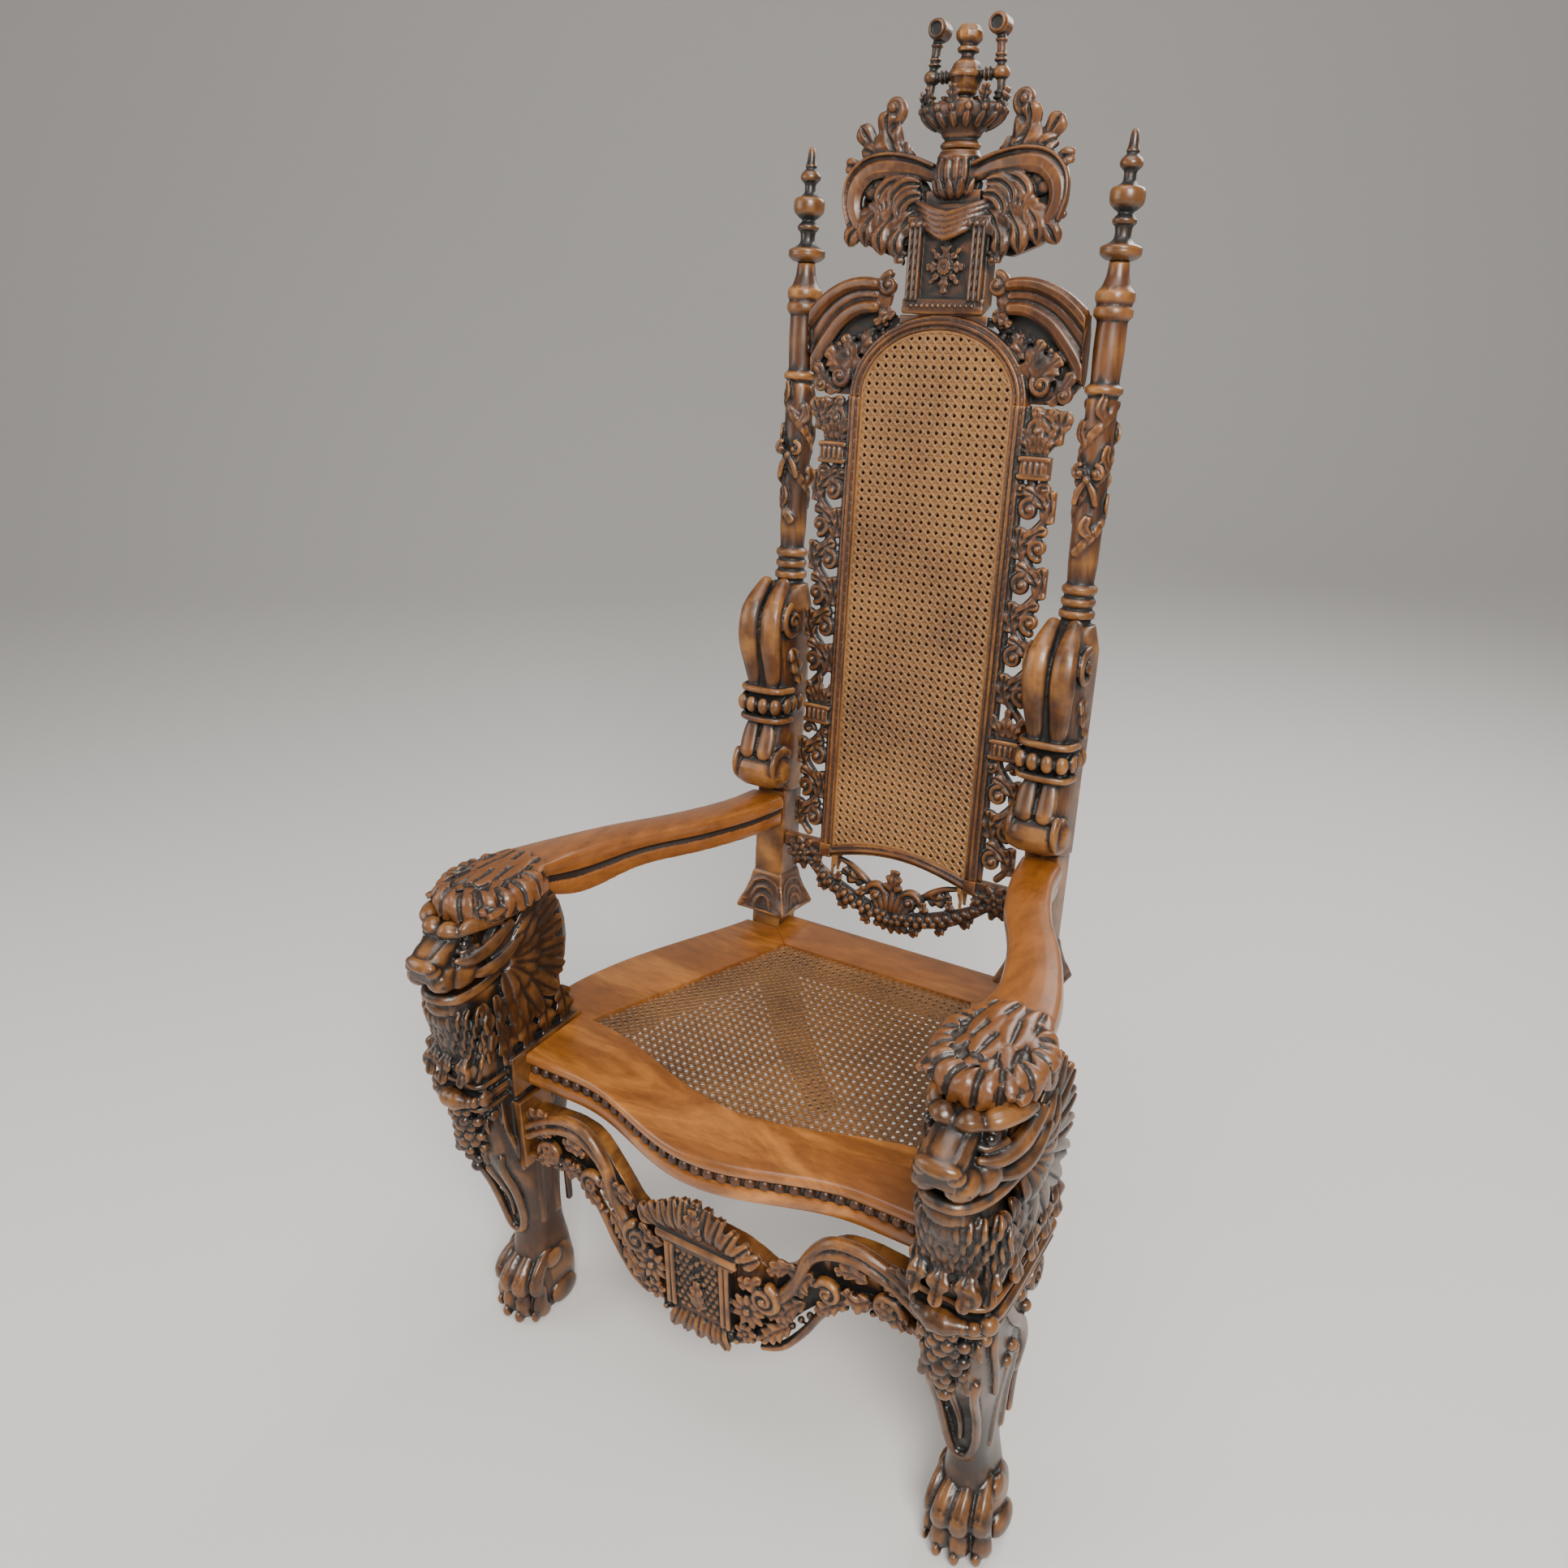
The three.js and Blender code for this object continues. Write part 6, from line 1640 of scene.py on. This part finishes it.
def side_outline():
    outer = []
    for i in range(25):
        t = i / 24
        y = -159.7 + (POST_FRONT + 159.7) * t
        outer.append((256 + (378 - 256) * max(0.0, math.cos(t * math.pi / 2)) ** 1.15, y))
    return outer + [(198.3, POST_FRONT), (160.3, 153), (284.3, -166), (307.9, -160)], len(outer)


def rear_outline():
    return [(197.5, 239), (-197.5, 239), (-197.5, POST_FRONT), (-159.7, 153.3), (159.7, 153.3),
            (197.5, POST_FRONT)], 2


RAIL_PROFILE = [
    # how far in from the edge, height
    (9, 436), (3, 436.5), (1.5, 440), (1.5, 448), (3, 452), (6, 453.5), (9.5, 455), (9.5, 469.5), (6, 471),
    (2, 472), (0.5, 474.5), (0, 478), (0.6, 482), (3, 485), (7, 486),
]


def moulded_rail(name, outline, exposed):
    """A board that follows an outline, with the seat moulding on its exposed edge."""
    points = np.array(outline, float)
    n = len(points)
    ahead = np.roll(points, -1, axis=0)
    turn = 1 if (points[:, 0] * ahead[:, 1] - ahead[:, 0] * points[:, 1]).sum() > 0 else -1
    normals = []
    for i in range(n):
        before = unit(points[i] - points[i - 1])
        after = unit(ahead[i] - points[i])
        if i == 0:
            before = after
        if i == exposed - 1:
            after = before
        normal = unit(np.array([-(before + after)[1], (before + after)[0]]))
        normals.append(normal * turn if i < exposed else normal * 0)
    rings = []
    for inset, z in RAIL_PROFILE:
        ring = points + np.array(normals) * inset
        rings.append(np.column_stack([ring, np.full(n, z)]))
    work = Carving()
    loft(work, rings)
    obj = facing_out(work, name)
    mark_plain(obj, 454, 470)
    smooth_by_angle(obj, 40)
    return obj


def bead_row(name, outline, exposed, sizes):
    """Egg beads in the hollow of a rail."""
    line = np.array(outline[:exposed], float)
    steps = np.linalg.norm(np.diff(line, axis=0), axis=1)
    total = steps.sum()
    pitch = 1000 * sizes.bead_pitch
    count = int(total / pitch)
    work = Carving()
    reach = np.concatenate([[0], np.cumsum(steps)])

    def on_line(s):
        return np.array([np.interp(s, reach, line[:, 0]), np.interp(s, reach, line[:, 1])])

    for k in range(count):
        s = (k + 0.5) * total / count
        x, y = on_line(s)
        ahead = on_line(s + 1) - on_line(s - 1)
        angle = math.atan2(ahead[1], ahead[0])
        inward = unit(np.array([-ahead[1], ahead[0]]))
        if np.dot(inward, -np.array([x, y])) < 0:
            inward = -inward
        at = (x + inward[0] * 7.5, y + inward[1] * 7.5, 462)
        ball(work, at, (7.4, 6.4, 8.2), (0, 0, angle), around=12, down=8)
    obj = facing_out(work, name)
    mark_plain(obj, 440, 480, 0.36)
    bpy.ops.object.shade_smooth()
    return obj


class THRONE_OT_seat_frame(bpy.types.Operator):
    """Shapes the moulded rails of the seat and their rows of beads."""
    bl_idname = "throne.seat_frame"
    bl_label = "Seat frame"

    def execute(self, context):
        sizes = context.scene.throne_sizes
        rails = [("front", front_outline()), ("back", rear_outline()), ("right", side_outline())]
        made = {side: moulded_rail(f"seat_rail_{side}_moulded", *shape) for side, shape in rails}
        made["left"] = twin(made["right"], "seat_rail_left_moulded")
        for side, rail in made.items():
            finished(rail, "seat_rail_" + side, FINISHES["plain"])
        rows = [bead_row("seat_beads_" + side, *dict(rails)[side], sizes) for side in ("front", "right")]
        for row in (*rows, twin(rows[1], "seat_beads_left")):
            finished(row, None, FINISHES["carved"])
        return {"FINISHED"}


# Woven cane

def crossings(outline, origin, direction):
    """Where a line enters and leaves an outline, as distances along it."""
    p = np.asarray(outline, float)
    q = np.roll(p, -1, axis=0)
    normal = np.array([-direction[1], direction[0]])
    a, b = (p - origin) @ normal, (q - origin) @ normal
    hit = (a > 0) != (b > 0)
    t = a[hit] / (a[hit] - b[hit])
    at = p[hit] + (q[hit] - p[hit]) * t[:, None]
    return np.sort((at - origin) @ direction)


# A strand in section: half widths across, and height
STRAND = [(-1, 0.0), (-0.6, 0.7), (0.6, 0.7), (1, 0.0), (0, -0.4)]


def woven(name, outline, pitch, place, bind):
    """Strands in pairs both ways with single ones across, cut to an outline, and a binding round it."""
    work = Carving()
    outline = np.asarray(outline, float)
    low, high = outline.min(0), outline.max(0)
    centre = (low + high) / 2
    size = np.linalg.norm(high - low)
    slant, double = math.sqrt(0.5), (-1.95, 1.95)
    layers = [
        # direction, spacing, offsets within one spacing, half width, height
        ((0.0, 1.0), pitch, double, 1.85, 0.0), ((1.0, 0.0), pitch, double, 1.85, 0.75),
        ((slant, slant), pitch * slant, (0.0,), 1.7, 1.5),
        ((slant, -slant), pitch * slant, (0.0,), 1.7, 1.9),
    ]
    for direction, spacing, offsets, half, lift in layers:
        direction = np.array(direction)
        normal = np.array([-direction[1], direction[0]])
        count = int(size / spacing) + 2
        phase = 0.5 * spacing if lift > 1 else 0.0
        for k in range(-count, count + 1):
            for off in offsets:
                origin = centre + normal * (k * spacing + off + phase)
                hits = crossings(outline, origin, direction)
                for s0, s1 in zip(hits[::2], hits[1::2]):
                    if s1 - s0 < 3:
                        continue
                    loft(work, [[(*(origin + direction * s + normal * half * u), lift + v)
                                 for u, v in STRAND] for s in (s0, s1)])
    rows = [(x, y, 1.6, bind, 1.8) for x, y in np.vstack([outline, outline[:2]])]
    sweep(work, rows, UPWARD, sides=6, steps=3 * len(rows))
    work.points = [place(work.all_points())]
    obj = facing_out(work, name)
    smooth_by_angle(obj, 50)
    return obj


def opening_outline(inset):
    points = [arch_point(a, -inset) for a in np.linspace(0, math.pi, 40)]
    half = OPENING - inset
    points += [(x, bottom_line(x) + inset) for x in np.linspace(-half, half, 24)]
    return points


class THRONE_OT_cane(bpy.types.Operator):
    """Weaves the cane of the seat and of both faces of the back."""
    bl_idname = "throne.cane"
    bl_label = "Woven cane"

    def execute(self, context):
        pitch = 1000 * context.scene.throne_sizes.cane_pitch

        def on_front(p):
            return leant(np.column_stack([p[:, 0], -18.0 - p[:, 2], p[:, 1]]))

        def on_rear(p):
            return leant(np.column_stack([p[:, 0], -4.5 + p[:, 2], p[:, 1]]))

        def on_seat(p):
            u = np.clip(1 - (p[:, 0] / 280) ** 2, 0, 1) * np.clip(1 - ((p[:, 1] + 25) / 190) ** 2, 0, 1)
            return np.column_stack([p[:, 0], p[:, 1], 480.0 + p[:, 2] - 3.0 * u])

        outline = opening_outline(0.6)
        seat = bow_curve(283.4, -165.5, 61.5, 36, 1) + [(159.6, 152.6), (-159.6, 152.6)]
        for node, shape, place, bind, key in (
            ("back_cane_front", outline, on_front, 2.6, "back_cane"),
            ("back_cane_rear", outline, on_rear, 2.6, "back_cane"),
            ("seat_cane", seat, on_seat, 3.4, "seat_cane"),
        ):
            finished(woven(node + "_woven", shape, pitch, place, bind), node, FINISHES[key])
        return {"FINISHED"}


# Stage

CAMERA_AT = (0.7552, -1.2752, 1.5036)
CAMERA_TURN = (32.53, 23.65, -0.884)
LENS = 28.54


def camera_axes():
    azimuth, elevation, roll = [math.radians(v) for v in CAMERA_TURN]
    back = Vector((math.sin(azimuth) * math.cos(elevation), -math.cos(azimuth) * math.cos(elevation),
                   math.sin(elevation)))
    right = Vector((0, 0, 1)).cross(back).normalized()
    over = back.cross(right)
    turned = right * math.cos(roll) + over * math.sin(roll)
    upright = over * math.cos(roll) - right * math.sin(roll)
    return turned, upright, back


def area_light(name, at, look, size, power, tone):
    data = bpy.data.lights.new(name, "AREA")
    data.shape = "RECTANGLE"
    data.size, data.size_y = size
    data.energy = power
    data.color = tone
    obj = linked(name, data)
    obj.location = at
    obj.rotation_euler = (Vector(look) - Vector(at)).to_track_quat("-Z", "Y").to_euler()


def backdrop(ground):
    """A floor that curves up into a wall, square to the camera's view."""
    far, bend = 0.35 * ground, 0.3 * ground
    line = [(-ground, 0.0), (0.0, 0.0), (far, 0.0)]
    line += [(far + bend * math.sin(a), bend * (1 - math.cos(a)))
             for a in np.linspace(0, math.pi / 2, 16)[1:]]
    line.append((far + bend, ground))
    turn = math.radians(CAMERA_TURN[0])
    points = []
    for away, up in line:
        for side in (-ground, ground):
            points.append((side * math.cos(turn) - away * math.sin(turn),
                           side * math.sin(turn) + away * math.cos(turn), up))
    faces = [(2 * i, 2 * i + 1, 2 * i + 3, 2 * i + 2) for i in range(len(line) - 1)]
    mesh = bpy.data.meshes.new("floor")
    mesh.from_pydata(points, [], faces)
    mesh.polygons.foreach_set("use_smooth", [True] * len(mesh.polygons))
    return linked("floor", mesh)


class THRONE_OT_stage(bpy.types.Operator):
    """Lays the floor and sets the lights and the camera."""
    bl_idname = "throne.stage"
    bl_label = "Stage"

    def execute(self, context):
        scene = context.scene
        none_selected()
        floor = backdrop(scene.throne_sizes.ground)
        material = bpy.data.materials.new("Pale floor")
        material.use_nodes = True
        shader = material.node_tree.nodes["Principled BSDF"]
        shader.inputs["Base Color"].default_value = (*scene.throne_colours.floor, 1)
        shader.inputs["Roughness"].default_value = 0.7
        floor.data.materials.append(material)
        world = bpy.data.worlds.new("Studio")
        scene.world = world
        world.use_nodes = True
        background = world.node_tree.nodes["Background"]
        background.inputs[0].default_value = (1.0, 0.96, 0.91, 1)
        background.inputs[1].default_value = 0.38
        area_light("key", (2.2, -2.6, 3.2), (0, 0, 0.8), (1.6, 1.6), 270, (1, 0.96, 0.9))
        area_light("fill", (-2.6, -2.0, 2.0), (0, 0, 0.8), (2.0, 2.0), 45, (1, 0.97, 0.93))
        area_light("rim", (0.6, 2.6, 2.8), (0, 0.2, 1.0), (1.6, 1.6), 60, (1, 0.98, 0.95))
        area_light("top", (0.2, -0.4, 3.6), (0, 0, 0.6), (2.0, 2.0), 45, (1, 1, 1))
        data = bpy.data.cameras.new("camera")
        data.lens = LENS
        data.sensor_width = 36.0
        data.sensor_fit = "HORIZONTAL"
        camera = linked("camera", data)
        camera.matrix_world = Matrix.Translation(CAMERA_AT) @ Matrix(camera_axes()).transposed().to_4x4()
        scene.camera = camera
        return {"FINISHED"}


class THRONE_PT_panel(bpy.types.Panel):
    """Lists the throne's pieces and settings."""
    bl_idname = "THRONE_PT_panel"
    bl_label = "Carved throne"
    bl_space_type = "VIEW_3D"
    bl_region_type = "UI"
    bl_category = "Throne"

    def draw(self, context):
        for owner, names in ((context.scene.throne_sizes, ("grain", "cane_pitch", "bead_pitch", "ground")),
                             (context.scene.throne_colours, ("carved", "plain", "cane", "floor"))):
            for name in names:
                self.layout.prop(owner, name)
        for operator in OPERATORS:
            self.layout.operator(operator.bl_idname)


OPERATORS = [THRONE_OT_lions, THRONE_OT_arms, THRONE_OT_posts, THRONE_OT_back, THRONE_OT_crest,
             THRONE_OT_apron, THRONE_OT_seat_frame, THRONE_OT_cane, THRONE_OT_stage]
CLASSES = [ThroneColours, ThroneSizes, *OPERATORS, THRONE_PT_panel]


def register():
    for cls in CLASSES:
        bpy.utils.register_class(cls)
    bpy.types.Scene.throne_colours = bpy.props.PointerProperty(type=ThroneColours)
    bpy.types.Scene.throne_sizes = bpy.props.PointerProperty(type=ThroneSizes)


def unregister():
    del bpy.types.Scene.throne_sizes
    del bpy.types.Scene.throne_colours
    for cls in reversed(CLASSES):
        bpy.utils.unregister_class(cls)


def main():
    register()
    make_finishes(bpy.context.scene.throne_colours)
    bpy.ops.throne.lions()
    bpy.ops.throne.arms()
    bpy.ops.throne.posts()
    bpy.ops.throne.back()
    bpy.ops.throne.crest()
    bpy.ops.throne.apron()
    bpy.ops.throne.seat_frame()
    bpy.ops.throne.cane()
    bpy.ops.throne.stage()


if __name__ == "__main__":
    main()
